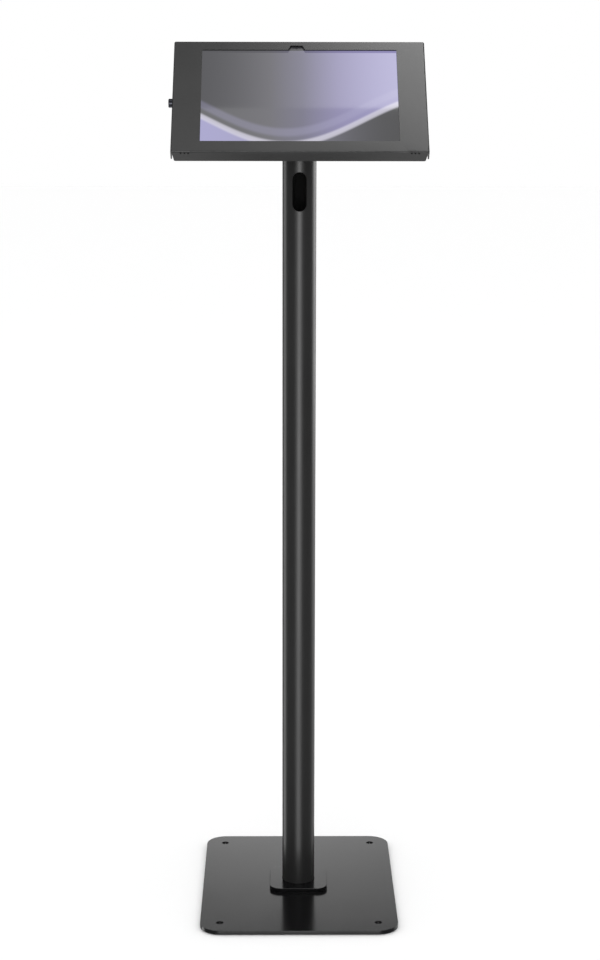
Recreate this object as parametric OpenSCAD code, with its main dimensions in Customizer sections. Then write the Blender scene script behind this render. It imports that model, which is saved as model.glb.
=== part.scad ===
// Floor-standing touchscreen kiosk: a flat steel base, a round column and a folded sheet-metal
// head that locks a tablet behind a windowed cover. Millimetres, +Z up, visitor on the -Y side.
// The origin is on the floor under the middle of the base.

/* [Base] */
// Width of the base plate
base_w = 250; // [200:1:320]
// Depth of the base plate
base_d = 318; // [240:1:400]
// Thickness of the base plate
base_t = 5; // [4:0.5:10]
// Corner radius of the base plate
base_corner_r = 26; // [5:1:40]
// Thickness of the rubber mat under the base plate
mat_t = 1; // [0.8:0.1:3]
// How far the mat stays inside the plate's edge
mat_inset = 3; // [1:0.5:10]
// Distance of each floor anchor hole from the plate's edges
anchor_inset = 25; // [18:1:40]
// Diameter of the floor anchor holes
anchor_hole_d = 9; // [6:0.5:12]

/* [Column] */
// Outer diameter of the column tube
tube_d = 42; // [38:0.5:60]
// Wall thickness of the column tube
tube_wall = 2; // [1.5:0.1:3]
// Side of the square foot flange
foot_w = 75; // [72:1:100]
// Thickness of the foot flange
foot_t = 5; // [5:0.5:8]
// Corner radius of the foot flange
foot_corner_r = 14; // [4:1:16]
// Thread diameter of the countersunk foot screws
foot_screw_d = 6; // [5:1:8]
// Width of the cable slot at the top of the column
slot_w = 18; // [10:1:24]
// Height of the cable slot
slot_h = 48; // [30:1:70]
// How far the slot's centre lies below the middle of the head's back
slot_drop = 103.5; // [95:0.5:140]
// Width of the cable exit at the back of the column's foot
exit_w = 16; // [10:1:22]
// Height of the cable exit
exit_h = 30; // [20:1:50]
// Height of the cable exit's centre above the foot flange
exit_rise = 45; // [30:1:90]

/* [Head] */
// Height of the middle of the head's back above the floor
head_z = 1016.5; // [800:0.5:1300]
// Lean of the screen back from upright, in degrees
lean = 45; // [35:1:50]
// Room between the tablet's short edges and the outside of the cover
side_room = 26; // [24:0.5:40]
// Room between the tablet's long edges and the outside of the cover
edge_room = 7; // [6:0.5:14]
// Thickness of the head, from the tray's back to the cover's face
head_depth = 18; // [17:0.5:26]
// Sheet thickness of the cover and the tray
sheet = 1.5; // [1:0.1:2]
// Outer radius of the sheet folds
fold_r = 2; // [1.5:0.1:3]
// Depth of the cover's flanges
flange_depth = 16.6; // [12:0.1:17]
// Clearance between the cover's flanges and the tray's walls
cover_gap = 1; // [0.8:0.1:2]
// Radius of the cover's face corners
face_corner_r = 4; // [2:0.5:8]
// Side of the square relief at each corner of the tray
tray_relief = 10; // [6:1:16]

/* [Mounting plate] */
// Side of the square mounting plate between column and tray
plate_w = 120; // [114:1:160]
// Thickness of the mounting plate
plate_t = 4; // [3:0.5:6]
// Spacing of the tray screws
vesa_pitch = 100; // [75:25:100]
// Thread diameter of the tray screws
vesa_screw_d = 4; // [3:1:5]
// Diameter of the cable hole through plate and tray
cable_hole_d = 28; // [20:1:30]
// Wall thickness of the rubber grommet
grommet_wall = 2.5; // [1.5:0.5:3]
// Width of the weld bead under the plate
weld_w = 2.5; // [1:0.5:4]

/* [Window] */
// How far the cover overlaps the edge of the picture area
window_overlap = 1; // [0:0.5:3]
// How far the window and tablet sit above the middle of the face
window_up = 1.2; // [-2:0.1:2]
// Width of the camera notch at the window's top edge
notch_w = 21; // [12:0.5:40]
// Width of the camera notch at its own top
notch_top_w = 14.5; // [8:0.5:36]
// Height of the camera notch
notch_h = 7.3; // [5:0.1:7.5]
// Sideways place of the notch and of the tablet's front camera
notch_x = -3.4; // [-40:0.1:40]
// Diameter of the sound holes in the lower flange
sound_hole_d = 2.3; // [1.5:0.1:3]
// Pitch of the sound holes
sound_pitch = 4.5; // [3.5:0.5:8]
// Distance of each group's centre from the side of the cover
sound_inset = 17; // [12:0.5:60]
// Distance of the sound holes below the face
sound_drop = 2.9; // [2.7:0.1:8]

/* [Tablet] */
// Width of the tablet
tablet_w = 258; // [180:1:330]
// Height of the tablet
tablet_h = 169; // [120:1:230]
// Thickness of the tablet
tablet_t = 7; // [6:0.1:9]
// Corner radius of the tablet
tablet_corner_r = 8; // [4:0.5:14]
// Width of the dark border around the picture area
bezel = 8; // [7:0.5:16]
// Thickness of the tablet's aluminium walls
shell_wall = 1.2; // [0.8:0.1:1.5]
// Thickness of the cover glass
glass_t = 0.8; // [0.5:0.1:1.2]
// Thickness of the display panel
panel_t = 1.8; // [1:0.1:2]
// Gap between the cover's sheet and the glass, filled by the foam gasket
gasket_room = 1.2; // [1:0.1:5]
// Width of the foam gasket
gasket_w = 6.5; // [4:0.5:8]
// Travel of the tablet's two edge keys
key_travel = 0.4; // [0.2:0.1:0.6]

/* [Lock] */
// Place of the lock up the side of the cover, from the middle
lock_v = -5.5; // [-20:1:20]
// Depth of the lock's axis below the cover's face
lock_drop = 8.3; // [8:0.1:9]
// Diameter of the lock's outer head
lock_head_d = 11; // [10:0.5:14]
// Height of the lock's outer head
lock_head_h = 4.8; // [2.5:0.1:6]
// Diameter of the lock's threaded barrel
barrel_d = 8; // [7.5:0.1:9]
// Diameter of the key plug
plug_d = 5; // [4.5:0.1:5.5]
// Reach of the cam from the lock's axis
cam_reach = 7.2; // [6.5:0.1:7.4]

/* [Hinge] */
// Diameter of the hinge pin
pin_d = 2; // [1.6:0.1:2.4]
// Outer diameter of the hinge knuckles
knuckle_d = 4; // [3.6:0.1:4.4]
// Length of each knuckle
knuckle_l = 22; // [12:1:30]
// Depth of the hinge axis behind the tray's back
hinge_drop = 1.5; // [1.5:0.1:3]
// Width of the hinge leaf under the tray
leaf_w = 16; // [10:1:24]

/* [Hidden] */
$fn = 64;

// Clearances
joint_gap = 0.3;      // between pieces on different bodies
slip_gap = 0.05;      // radial, round fits that turn and threads
weld_gap = 0.02;      // between a weld bead and its tube
through = 1;          // extra length of a cutting body past a surface
far = 200;            // larger than any cut

// Base and foot
base_top = mat_t + base_t;
foot_top = base_top + foot_t;
foot_screw_spacing = foot_w - 3.5 * foot_screw_d;
foot_screw_head_d = 2 * foot_screw_d;
foot_thread_depth = foot_t - 1;
foot_screw_l = base_t + foot_thread_depth - 0.3;
weld_leg = 2.4;
tube_bottom = base_top + 1.5;
tube_r = tube_d / 2;
tube_bore_r = tube_r - tube_wall;
exit_z = foot_top + exit_rise;
slot_z = head_z - slot_drop;
strip_rim = 9;        // tube above and below a cable opening in the same strip
neck_z = slot_z - slot_h / 2 - strip_rim;
exit_top = exit_z + exit_h / 2 + strip_rim;
tube_top = head_z + tube_d;

// Head: x across, v up the leaning face, n out of the face; n = 0 is the tray's back
head_w = tablet_w + 2 * side_room;
head_h = tablet_h + 2 * edge_room;
cover_n0 = head_depth - flange_depth;
tray_w = head_w - 2 * (sheet + cover_gap);
tray_h = head_h - 2 * (sheet + cover_gap);
tray_top = head_depth - sheet - 0.6;
tray_in_x = tray_w / 2 - sheet;
tray_in_v = tray_h / 2 - sheet;
lip_taper = sheet + 0.7;

// Tablet stack, from the glass down
glass_n = head_depth - sheet - gasket_room;
tablet_n0 = glass_n - tablet_t;
glass_n0 = glass_n - glass_t;
panel_n0 = glass_n0 - panel_t;
mid_t = 0.6;
mid_n0 = panel_n0 - mid_t;
shell_floor = 0.8;
cavity_n0 = tablet_n0 + shell_floor;
cavity_w = tablet_w - 2 * shell_wall;
cavity_h = tablet_h - 2 * shell_wall;
cavity_r = tablet_corner_r - shell_wall;
glass_gap = 0.05;
panel_w = tablet_w - 2 * bezel;
panel_h = tablet_h - 2 * bezel;
inner_n0 = cavity_n0 + 0.2;
inner_h = mid_n0 - inner_n0 - 0.1;
window_w = panel_w - 2 * window_overlap;
window_h = panel_h - 2 * window_overlap;
window_top = window_up + window_h / 2;
camera_d = 4.4;
camera_rise = 3.5;
camera_v = window_up + panel_h / 2 + camera_rise;
port_w = 9;
port_h = 3.2;
port_depth = 7;
port_wall = 0.4;
inner_gap = 1.5;
speaker_w = 14;
speaker_l = 24;
speaker_edge = 5;
speaker_end = 20;
board_w = 130;
board_l = 22;
board_t = 0.9;
board_edge = 10;
board_v = cavity_h / 2 - board_edge - board_l / 2;
chip_w = 12;
chip_pitch = 21;
cell_w = cavity_w / 2 - speaker_edge - speaker_w - 1.5 * inner_gap;
cell_v0 = -cavity_h / 2 + speaker_edge;
cell_v1 = board_v - board_l / 2 - inner_gap;
key_flange = 0.8;
power_key_l = 11;
volume_key_l = 20;
power_key_x = -tablet_w / 2 + 15;
volume_key_x = power_key_x + power_key_l / 2 + volume_key_l / 2 + 5;
key_h = min(2, inner_h - 0.6);
key_n = inner_n0 + inner_h / 2;
key_proud = key_travel + 0.2;
key_gap = 0.15;
key_flange_step = 0.8;

// Padding around the tablet
pad_side = 30;
pad_x = tablet_w / 2 - 34;
pad_v = tablet_h / 2 - 30;
spacer_v = tablet_h / 2 - 25;
spacer_l = 34;
strip_l = 56;
strip_x = 50;
pad_n1 = glass_n - 0.6;

// Lock; the cam hangs down the head when open and points up the face when locked
lock_n = head_depth - lock_drop;
side_x = -head_w / 2;
nut_t = 2.4;
nut_across = barrel_d + 2;
nut_r = nut_across / sqrt(3);
barrel_l = 9;
collar_d = plug_d + 2.2;
collar_h = 1;
cam_t = 1.5;
cam_w = 4;
hub_r = 3.4;
cam_x = side_x + barrel_l + joint_gap;
tang_w = 3.2;
cam_screw_d = 2;
cam_screw_head_h = 1.4;
key_slot_w = 0.9;
key_slot_l = 4;
wall_notch_w = 2 * nut_r + 1.6;
catch_t = 1.2;
catch_v0 = lock_v + barrel_d / 2 + 0.6;
catch_web_v = lock_v + cam_reach + 1.2;
catch_n0 = lock_n + cam_w / 2 + 0.45;
catch_l = 15;
catch_w = 8;
catch_x = cam_x + cam_t / 2 - catch_w / 2;
rivet_d = 3;
rivet_head_d = 5;
rivet_head_h = 0.9;
rivet_steps = [5, 11.5];

// Hinge
hinge_x = head_w / 2 - knuckle_d / 2;
hinge_n = -hinge_drop;
leaf_t = 1.5;
leaf_knuckles = [-2, 0, 2];
cover_knuckles = [-1, 1];
knuckle_step = knuckle_l + 0.4;
pin_l = 5 * knuckle_step - 0.4;
leaf_x1 = hinge_x - knuckle_d / 2 - joint_gap - 0.1;

coat = "#2e2f31";
gloss_coat = "#222325";
steel = "#b9bcc0";
foam = "#1b1b1d";

// ---- Shared shapes ----

// Moves its children from the head's own x, v, n axes to the floor frame
module in_head() {
    translate([0, 0, head_z]) rotate([90 - lean, 0, 0]) children();
}

// Flat rectangle with round corners, centred
module rounded_rect(w, d, r) {
    square([w - 2 * r, d], center = true);
    square([w, d - 2 * r], center = true);
    for (sx = [-1, 1], sy = [-1, 1])
        translate([sx * (w / 2 - r), sy * (d / 2 - r)]) circle(r);
}

// Plate with round corners, from n0 up
module rounded_plate(w, d, t, r, n0 = 0) {
    translate([0, 0, n0]) linear_extrude(t) rounded_rect(w, d, r);
}

// Box centred in x and v, from n0 up
module block(x, v, n0, size) {
    translate([x - size[0] / 2, v - size[1] / 2, n0]) cube(size);
}

// Slot outline with full round ends, long side along Y
module obround(w, h) {
    square([w, h - w], center = true);
    for (s = [-1, 1]) translate([0, s * (h - w) / 2]) circle(w / 2);
}

// Outline of a tub, flat at y = 0, with its two lower corners rounded
module tub(w, d, r) {
    translate([-w / 2, r]) square([w, d - r]);
    translate([-w / 2 + r, 0]) square([w - 2 * r, r]);
    for (s = [-1, 1]) translate([s * (w / 2 - r), r]) circle(r);
}

// Cross-section of a sheet folded up at both sides
module channel(w, d) {
    difference() {
        tub(w, d, fold_r);
        translate([0, sheet]) tub(w - 2 * sheet, d, fold_r - sheet);
    }
}

// Extrudes an outline drawn in (v, n) along x
module along_x(l) {
    rotate([90, 0, 90]) linear_extrude(l, center = true) children();
}

// Extrudes an outline drawn in (x, n) along v
module along_v(l) {
    rotate([90, 0, 0]) linear_extrude(l, center = true) children();
}

// Turns a cover outline over, so that its web is at the face
module from_face() {
    translate([0, head_depth]) mirror([0, 1]) children();
}

// Cylinder along x from x0 towards +x, in head axes
module rod_x(d, x0, l, v, n) {
    translate([x0, v, n]) rotate([0, 90, 0]) cylinder(d = d, h = l);
}

// Cylinder along v centred on v, in head axes
module rod_v(d, l, x, v, n) {
    translate([x, v, n]) rotate([90, 0, 0]) cylinder(d = d, h = l, center = true);
}

// Repeats its children at the four corners of a rectangle
module at_corners(dx, dy) {
    for (sx = [-1, 1], sy = [-1, 1]) translate([sx * dx / 2, sy * dy / 2, 0]) children();
}

module at_anchors() {
    at_corners(base_w - 2 * anchor_inset, base_d - 2 * anchor_inset) children();
}

module at_foot_screws() {
    at_corners(foot_screw_spacing, foot_screw_spacing) children();
}

module at_tray_screws() {
    at_corners(vesa_pitch, vesa_pitch) children();
}

// ---- Stand ----

module base_mat() {
    color(foam) difference() {
        rounded_plate(base_w - 2 * mat_inset, base_d - 2 * mat_inset, mat_t,
            base_corner_r - mat_inset);
        at_anchors() translate([0, 0, -through])
            cylinder(d = anchor_hole_d + 6, h = mat_t + 2 * through);
        at_foot_screws() translate([0, 0, -through])
            cylinder(d = foot_screw_head_d + 2, h = mat_t + 2 * through);
    }
}

module base_plate() {
    color(gloss_coat) difference() {
        rounded_plate(base_w, base_d, base_t, base_corner_r, mat_t);
        at_anchors() translate([0, 0, mat_t - through])
            cylinder(d = anchor_hole_d, h = base_t + 2 * through);
        at_foot_screws() translate([0, 0, mat_t]) {
            translate([0, 0, -through])
                cylinder(d = foot_screw_d + 0.4, h = base_t + 2 * through);
            cylinder(d1 = foot_screw_head_d + 0.4, d2 = foot_screw_d + 0.4,
                h = (foot_screw_head_d - foot_screw_d) / 2);
        }
    }
}

// Countersunk screws driven up through the base into the foot flange
module foot_screws() {
    cone_h = (foot_screw_head_d - foot_screw_d) / 2;
    color(steel) at_foot_screws() translate([0, 0, mat_t + slip_gap]) difference() {
        union() {
            cylinder(d = foot_screw_d - 2 * slip_gap, h = foot_screw_l);
            cylinder(d1 = foot_screw_head_d, d2 = foot_screw_d - 2 * slip_gap, h = cone_h);
        }
        translate([0, 0, -through])
            cylinder(d = foot_screw_d * 0.75, h = through + cone_h * 0.8, $fn = 6);
    }
}

module foot_flange() {
    color(gloss_coat) difference() {
        rounded_plate(foot_w, foot_w, foot_t, foot_corner_r, base_top);
        translate([0, 0, base_top - through])
            cylinder(r = tube_r + slip_gap, h = foot_t + 2 * through);
        translate([0, 0, base_top])
            cylinder(r1 = tube_r + slip_gap + weld_leg, r2 = tube_r + slip_gap, h = weld_leg);
        at_foot_screws() translate([0, 0, base_top - through])
            cylinder(d = foot_screw_d, h = foot_thread_depth + through);
    }
}

// Ring of weld that joins the tube to the flange from below, ground flush
module foot_weld() {
    color(steel) translate([0, 0, base_top]) rotate_extrude() polygon([
        [tube_bore_r, weld_gap],
        [tube_r + weld_leg - weld_gap, weld_gap],
        [tube_r + weld_gap, weld_leg - weld_gap],
        [tube_r + weld_gap, tube_bottom - base_top - weld_gap],
        [tube_bore_r, tube_bottom - base_top - weld_gap]
    ]);
}

// The whole tube, cut to the head's slant, with its cable slot and exit
module tube_wall_shape() {
    difference() {
        translate([0, 0, tube_bottom]) cylinder(r = tube_r, h = tube_top - tube_bottom);
        translate([0, 0, tube_bottom - through])
            cylinder(r = tube_bore_r, h = tube_top);
        in_head() translate([-far / 2, -far / 2, -plate_t]) cube(far);
        translate([0, 0, slot_z]) rotate([90, 0, 0])
            linear_extrude(tube_d) obround(slot_w, slot_h);
        translate([0, 0, exit_z]) rotate([-90, 0, 0])
            linear_extrude(tube_d) obround(exit_w, exit_h);
    }
}

// One lengthwise quarter of the tube between two heights; side turns it round from the front.
// The tube is drawn as quarters that meet edge to edge, so that its bore stays open to use.
module tube_strip(side, low, high) {
    color(coat) intersection() {
        tube_wall_shape();
        rotate([0, 0, side]) translate([0, 0, low]) linear_extrude(high - low)
            polygon([[0, 0], [tube_d, -tube_d], [-tube_d, -tube_d]]);
    }
}

module tube_front() {
    tube_strip(0, tube_bottom - through, neck_z);
}

// Front of the tube's upper end, with the cable slot
module tube_neck() {
    tube_strip(0, neck_z, tube_top);
}

module tube_right() {
    tube_strip(90, tube_bottom - through, tube_top);
}

// Back of the tube's lower end, with the cable exit
module tube_exit() {
    tube_strip(180, tube_bottom - through, exit_top);
}

module tube_back() {
    tube_strip(180, exit_top, tube_top);
}

module tube_left() {
    tube_strip(270, tube_bottom - through, tube_top);
}

// Bead that joins the slanted end of the tube to the mounting plate
module plate_weld() {
    color(coat) difference() {
        intersection() {
            translate([0, 0, head_z - 2 * tube_d]) cylinder(r = tube_r + weld_w, h = 4 * tube_d);
            in_head() block(0, 0, -plate_t - weld_w, [far, far, weld_w]);
        }
        translate([0, 0, head_z - 3 * tube_d]) cylinder(r = tube_r + weld_gap, h = 6 * tube_d);
    }
}

module mount_plate() {
    color(coat) in_head() difference() {
        rounded_plate(plate_w, plate_w, plate_t, 8, -plate_t);
        translate([0, 0, -plate_t - through]) {
            cylinder(d = cable_hole_d, h = plate_t + 2 * through);
            at_tray_screws() cylinder(d = vesa_screw_d, h = plate_t + 2 * through);
        }
    }
}

// Pan-head screws that hold the tray on the mounting plate
module tray_screws() {
    head_d = 2 * vesa_screw_d;
    head_h = 0.55 * vesa_screw_d;
    color(steel) in_head() at_tray_screws() difference() {
        union() {
            translate([0, 0, -plate_t])
                cylinder(d = vesa_screw_d - 2 * slip_gap, h = plate_t + sheet + 0.1);
            translate([0, 0, sheet]) cylinder(d = head_d, h = head_h);
        }
        translate([0, 0, sheet + head_h * 0.4])
            cylinder(d = vesa_screw_d * 0.6, h = head_h, $fn = 6);
    }
}

module cable_grommet() {
    rim_w = 3;
    rim_t = 1.5;
    hole_r = cable_hole_d / 2;
    color(foam) in_head() difference() {
        union() {
            translate([0, 0, -plate_t - rim_t]) cylinder(r = hole_r - slip_gap,
                h = plate_t + sheet + 2 * rim_t);
            translate([0, 0, sheet]) cylinder(r = hole_r + rim_w, h = rim_t);
            translate([0, 0, -plate_t - rim_t]) cylinder(r = hole_r + rim_w, h = rim_t);
        }
        translate([0, 0, -plate_t - rim_t - through])
            cylinder(r = hole_r - grommet_wall, h = plate_t + sheet + 2 * (rim_t + through));
    }
}

// ---- Tray and what is fixed in it ----

module back_tray() {
    color(coat) in_head() difference() {
        union() {
            along_x(tray_w - 2 * tray_relief) channel(tray_h, tray_top);
            along_v(tray_h - 2 * tray_relief) channel(tray_w, tray_top);
        }
        translate([0, 0, -through]) {
            cylinder(d = cable_hole_d, h = sheet + 2 * through);
            at_tray_screws() cylinder(d = vesa_screw_d + 0.5, h = sheet + 2 * through);
        }
        translate([-tray_w / 2 - through, lock_v, lock_n]) rotate([90, 0, 90])
            linear_extrude(sheet + 2 * through) union() {
                circle(wall_notch_w / 2);
                translate([-wall_notch_w / 2, 0]) square([wall_notch_w, head_depth]);
            }
        for (step = rivet_steps)
            translate([catch_x + catch_w / 2, catch_web_v + step, -through])
                cylinder(d = rivet_d, h = sheet + 2 * through);
    }
}

// Strip under the tray's right side that carries three of the five knuckles
module hinge_leaf() {
    color(coat) in_head() difference() {
        union() {
            block(leaf_x1 - leaf_w / 2, 0, -leaf_t, [leaf_w, pin_l, leaf_t]);
            for (i = leaf_knuckles) {
                rod_v(knuckle_d, knuckle_l, hinge_x, i * knuckle_step, hinge_n);
                block((leaf_x1 + hinge_x) / 2, i * knuckle_step, -leaf_t,
                    [hinge_x - leaf_x1, knuckle_l, leaf_t]);
            }
        }
        rod_v(pin_d + 2 * slip_gap, pin_l + 2 * through, hinge_x, 0, hinge_n);
    }
}

module hinge_pin() {
    color(steel) in_head() rod_v(pin_d, pin_l, hinge_x, 0, hinge_n);
}

// Bracket whose top flange stops the turned cam from lifting
module lock_catch() {
    color(steel) in_head() difference() {
        translate([catch_x, 0, 0]) {
            translate([0, catch_web_v, sheet]) cube([catch_w, catch_l, catch_t]);
            translate([0, catch_web_v, sheet])
                cube([catch_w, catch_t, catch_n0 + catch_t - sheet]);
            translate([0, catch_v0, catch_n0])
                cube([catch_w, catch_web_v + catch_t - catch_v0, catch_t]);
        }
        for (step = rivet_steps)
            translate([catch_x + catch_w / 2, catch_web_v + step, 0])
                cylinder(d = rivet_d, h = sheet + catch_t + through);
    }
}

module catch_rivets() {
    color(steel) in_head() for (step = rivet_steps)
        translate([catch_x + catch_w / 2, catch_web_v + step, 0]) {
            translate([0, 0, -rivet_head_h])
                cylinder(d = rivet_d - 2 * slip_gap, h = sheet + catch_t + 2 * rivet_head_h);
            translate([0, 0, -rivet_head_h]) cylinder(d = rivet_head_d, h = rivet_head_h);
            translate([0, 0, sheet + catch_t]) cylinder(d = rivet_head_d, h = rivet_head_h);
        }
}

// Foam pads between the tray's floor and the tablet's back
module back_pads() {
    color(foam) in_head() for (sx = [-1, 1], sv = [-1, 1])
        block(sx * pad_x, window_up + sv * pad_v, sheet, [pad_side, pad_side, tablet_n0 - sheet]);
}

// Foam blocks between one short edge of the tablet and the tray's wall
module side_spacers(side) {
    color(foam) in_head() for (sv = [-1, 1])
        block(side * (tablet_w / 2 + tray_in_x) / 2, window_up + sv * spacer_v, fold_r,
            [tray_in_x - tablet_w / 2, spacer_l, pad_n1 - fold_r]);
}

module left_spacers() {
    side_spacers(-1);
}

module right_spacers() {
    side_spacers(1);
}

// Thin foam strips between the tablet's long edges and the tray's walls
module edge_strips() {
    color(foam) in_head() for (sx = [-1, 1], sv = [-1, 1]) {
        tablet_edge = window_up + sv * tablet_h / 2;
        wall = sv * tray_in_v;
        block(sx * strip_x, (tablet_edge + wall) / 2, tablet_n0,
            [strip_l, abs(wall - tablet_edge), pad_n1 - tablet_n0]);
    }
}

// ---- Tablet ----

module in_tablet() {
    in_head() translate([0, window_up, 0]) children();
}

module tablet_shell() {
    color("#4a4b4f") in_tablet() difference() {
        rounded_plate(tablet_w, tablet_h, tablet_t, tablet_corner_r, tablet_n0);
        rounded_plate(cavity_w, cavity_h, tablet_t, cavity_r, cavity_n0);
        translate([tablet_w / 2 - shell_wall - through, 0, key_n]) rotate([0, 90, 0])
            linear_extrude(shell_wall + 2 * through) obround(port_h, port_w);
        key_pocket(power_key_x, power_key_l);
        key_pocket(volume_key_x, volume_key_l);
    }
}

module key_pocket(x, l) {
    block(x, tablet_h / 2 - shell_wall / 2, key_n - key_h / 2 - key_gap,
        [l + 2 * key_gap, shell_wall + 2 * through, key_h + 2 * key_gap]);
}

module tablet_glass() {
    color("#8d8aa0") in_tablet() rounded_plate(cavity_w - 2 * glass_gap, cavity_h - 2 * glass_gap,
        glass_t, cavity_r - glass_gap, glass_n0);
}

module display_panel() {
    color("#77758c") in_tablet() block(0, 0, panel_n0, [panel_w, panel_h, panel_t]);
}

module mid_plate() {
    color(steel) in_tablet() rounded_plate(cavity_w - 2 * joint_gap, cavity_h - 2 * joint_gap,
        mid_t, cavity_r - joint_gap, mid_n0);
}

module battery_cells() {
    color("#3c3f45") in_tablet() for (s = [-1, 1])
        block(s * (cell_w + inner_gap) / 2, (cell_v0 + cell_v1) / 2, inner_n0,
            [cell_w, cell_v1 - cell_v0, inner_h]);
}

module logic_board() {
    color("#1d5a3a") in_tablet() {
        block(0, board_v, inner_n0, [board_w, board_l, board_t]);
        for (i = [-2 : 2])
            block(i * chip_pitch, board_v, inner_n0 + board_t,
                [chip_w, chip_w, inner_h - board_t - joint_gap]);
    }
}

module speaker_boxes() {
    color(foam) in_tablet() for (sx = [-1, 1], sv = [-1, 1])
        block(sx * (cavity_w / 2 - speaker_edge - speaker_w / 2),
            sv * (cavity_h / 2 - speaker_end - speaker_l / 2), inner_n0,
            [speaker_w, speaker_l, inner_h]);
}

// Camera behind the glass in the upper border
module front_camera() {
    color("#101014") in_head() translate([notch_x, camera_v, panel_n0])
        cylinder(d = camera_d, h = panel_t);
}

// Charging socket in the right edge
module charge_port() {
    color(steel) in_tablet() translate([cavity_w / 2 - port_depth, 0, key_n])
        rotate([0, 90, 0]) difference() {
            linear_extrude(port_depth) obround(min(port_h, inner_h), port_w);
            translate([0, 0, port_wall]) linear_extrude(port_depth)
                obround(min(port_h, inner_h) - 2 * port_wall, port_w - 2 * port_wall);
        }
}

// Edge key with a wider flange inside the wall that stops it from falling out
module edge_key(x, l) {
    inner_wall = tablet_h / 2 - shell_wall;
    stem_v0 = inner_wall - 0.1 - key_flange;
    stem_l = tablet_h / 2 + key_proud - stem_v0;
    color("#55565a") in_tablet() {
        block(x, stem_v0 + stem_l / 2, key_n - key_h / 2, [l, stem_l, key_h]);
        block(x, stem_v0 + key_flange / 2, key_n - key_h / 2, [l + 2 * key_flange_step, key_flange, key_h]);
    }
}

module power_key() {
    edge_key(power_key_x, power_key_l);
}

module volume_key() {
    edge_key(volume_key_x, volume_key_l);
}

// ---- Cover ----

// Opening for the picture with the camera notch in its top edge, as an outline
module window_outline(grow) {
    translate([0, window_up]) square([window_w + 2 * grow, window_h + 2 * grow], center = true);
    polygon([
        [notch_x - notch_w / 2 - grow, window_top - 1],
        [notch_x + notch_w / 2 + grow, window_top - 1],
        [notch_x + notch_w / 2 + grow, window_top],
        [notch_x + notch_top_w / 2 + grow, window_top + notch_h + grow],
        [notch_x - notch_top_w / 2 - grow, window_top + notch_h + grow],
        [notch_x - notch_w / 2 - grow, window_top]
    ]);
}

// Limits the upper and lower flanges to ends that taper away from the side flanges
module lip_ends() {
    half = head_w / 2 - sheet - 0.1;
    rotate([90, 0, 0]) linear_extrude(2 * head_h, center = true) polygon([
        [-half, head_depth + through],
        [-half, head_depth - fold_r],
        [-half + lip_taper, cover_n0 - through],
        [half - lip_taper, cover_n0 - through],
        [half, head_depth - fold_r],
        [half, head_depth + through]
    ]);
}

module front_cover() {
    color(coat) in_head() difference() {
        union() {
            intersection() {
                along_x(head_w) from_face() channel(head_h, flange_depth);
                lip_ends();
            }
            along_v(head_h - 2 * sheet - 0.2) from_face() channel(head_w, flange_depth);
            for (sx = [-1, 1], sv = [-1, 1])
                translate([sx * (head_w / 2 - face_corner_r), sv * (head_h / 2 - face_corner_r),
                    head_depth - sheet]) cylinder(r = face_corner_r, h = sheet);
            for (i = cover_knuckles) {
                rod_v(knuckle_d, knuckle_l, hinge_x, i * knuckle_step, hinge_n);
                block(head_w / 2 - sheet / 2, i * knuckle_step, hinge_n,
                    [sheet, knuckle_l, cover_n0 + hinge_drop + through]);
            }
        }
        translate([0, 0, head_depth - sheet - through])
            linear_extrude(sheet + 2 * through) window_outline(0);
        rod_v(pin_d + 2 * slip_gap, pin_l + 2 * through, hinge_x, 0, hinge_n);
        rod_x(barrel_d + 0.3, side_x - through, sheet + 2 * through, lock_v, lock_n);
        for (side = [-1, 1], i = [-1 : 1])
            translate([side * (head_w / 2 - sound_inset) + i * sound_pitch,
                -head_h / 2 - through, head_depth - sound_drop])
                rotate([-90, 0, 0]) cylinder(d = sound_hole_d, h = sheet + 2 * through);
    }
}

// Foam frame glued behind the window's edge, cut open at the camera notch
module window_gasket() {
    edge_gap = 0.5;
    thick = gasket_room - joint_gap;
    color(foam) in_head() translate([0, 0, head_depth - sheet - thick]) linear_extrude(thick)
        difference() {
            translate([0, window_up])
                square([window_w + 2 * gasket_w, window_h + 2 * gasket_w], center = true);
            window_outline(edge_gap);
        }
}

// Lock housing: a bevelled head outside the cover and a barrel through its side
module lock_body() {
    bevel = 0.8;
    color(steel) in_head() difference() {
        translate([side_x, lock_v, lock_n]) rotate([0, 90, 0]) {
            cylinder(d = barrel_d, h = barrel_l);
            translate([0, 0, bevel - lock_head_h])
                cylinder(d = lock_head_d, h = lock_head_h - bevel);
            translate([0, 0, -lock_head_h])
                cylinder(d1 = lock_head_d - 2 * bevel, d2 = lock_head_d, h = bevel);
        }
        rod_x(plug_d + 2 * slip_gap, side_x - lock_head_h - through,
            lock_head_h + barrel_l + 2 * through, lock_v, lock_n);
        rod_x(collar_d + 2 * slip_gap, side_x - lock_head_h - through,
            collar_h + slip_gap + through, lock_v, lock_n);
    }
}

module lock_nut() {
    color(steel) in_head() difference() {
        translate([side_x + sheet, lock_v, lock_n]) rotate([0, 90, 0])
            cylinder(r = nut_r, h = nut_t, $fn = 6);
        rod_x(barrel_d + 2 * slip_gap, side_x, sheet + nut_t + through, lock_v, lock_n);
    }
}

// ---- Turning part of the lock ----

module lock_plug() {
    front = side_x - lock_head_h;
    color("#d8d8da") in_head() difference() {
        union() {
            rod_x(collar_d, front, collar_h, lock_v, lock_n);
            rod_x(plug_d, front, cam_x - front, lock_v, lock_n);
            translate([cam_x - 0.5, lock_v - tang_w / 2, lock_n - tang_w / 2])
                cube([cam_t + 0.5, tang_w, tang_w]);
        }
        translate([front - through, lock_v - key_slot_l / 2, lock_n - key_slot_w / 2])
            cube([through + 6, key_slot_l, key_slot_w]);
        rod_x(cam_screw_d, cam_x - 3, cam_t + 3 + through, lock_v, lock_n);
    }
}

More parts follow.
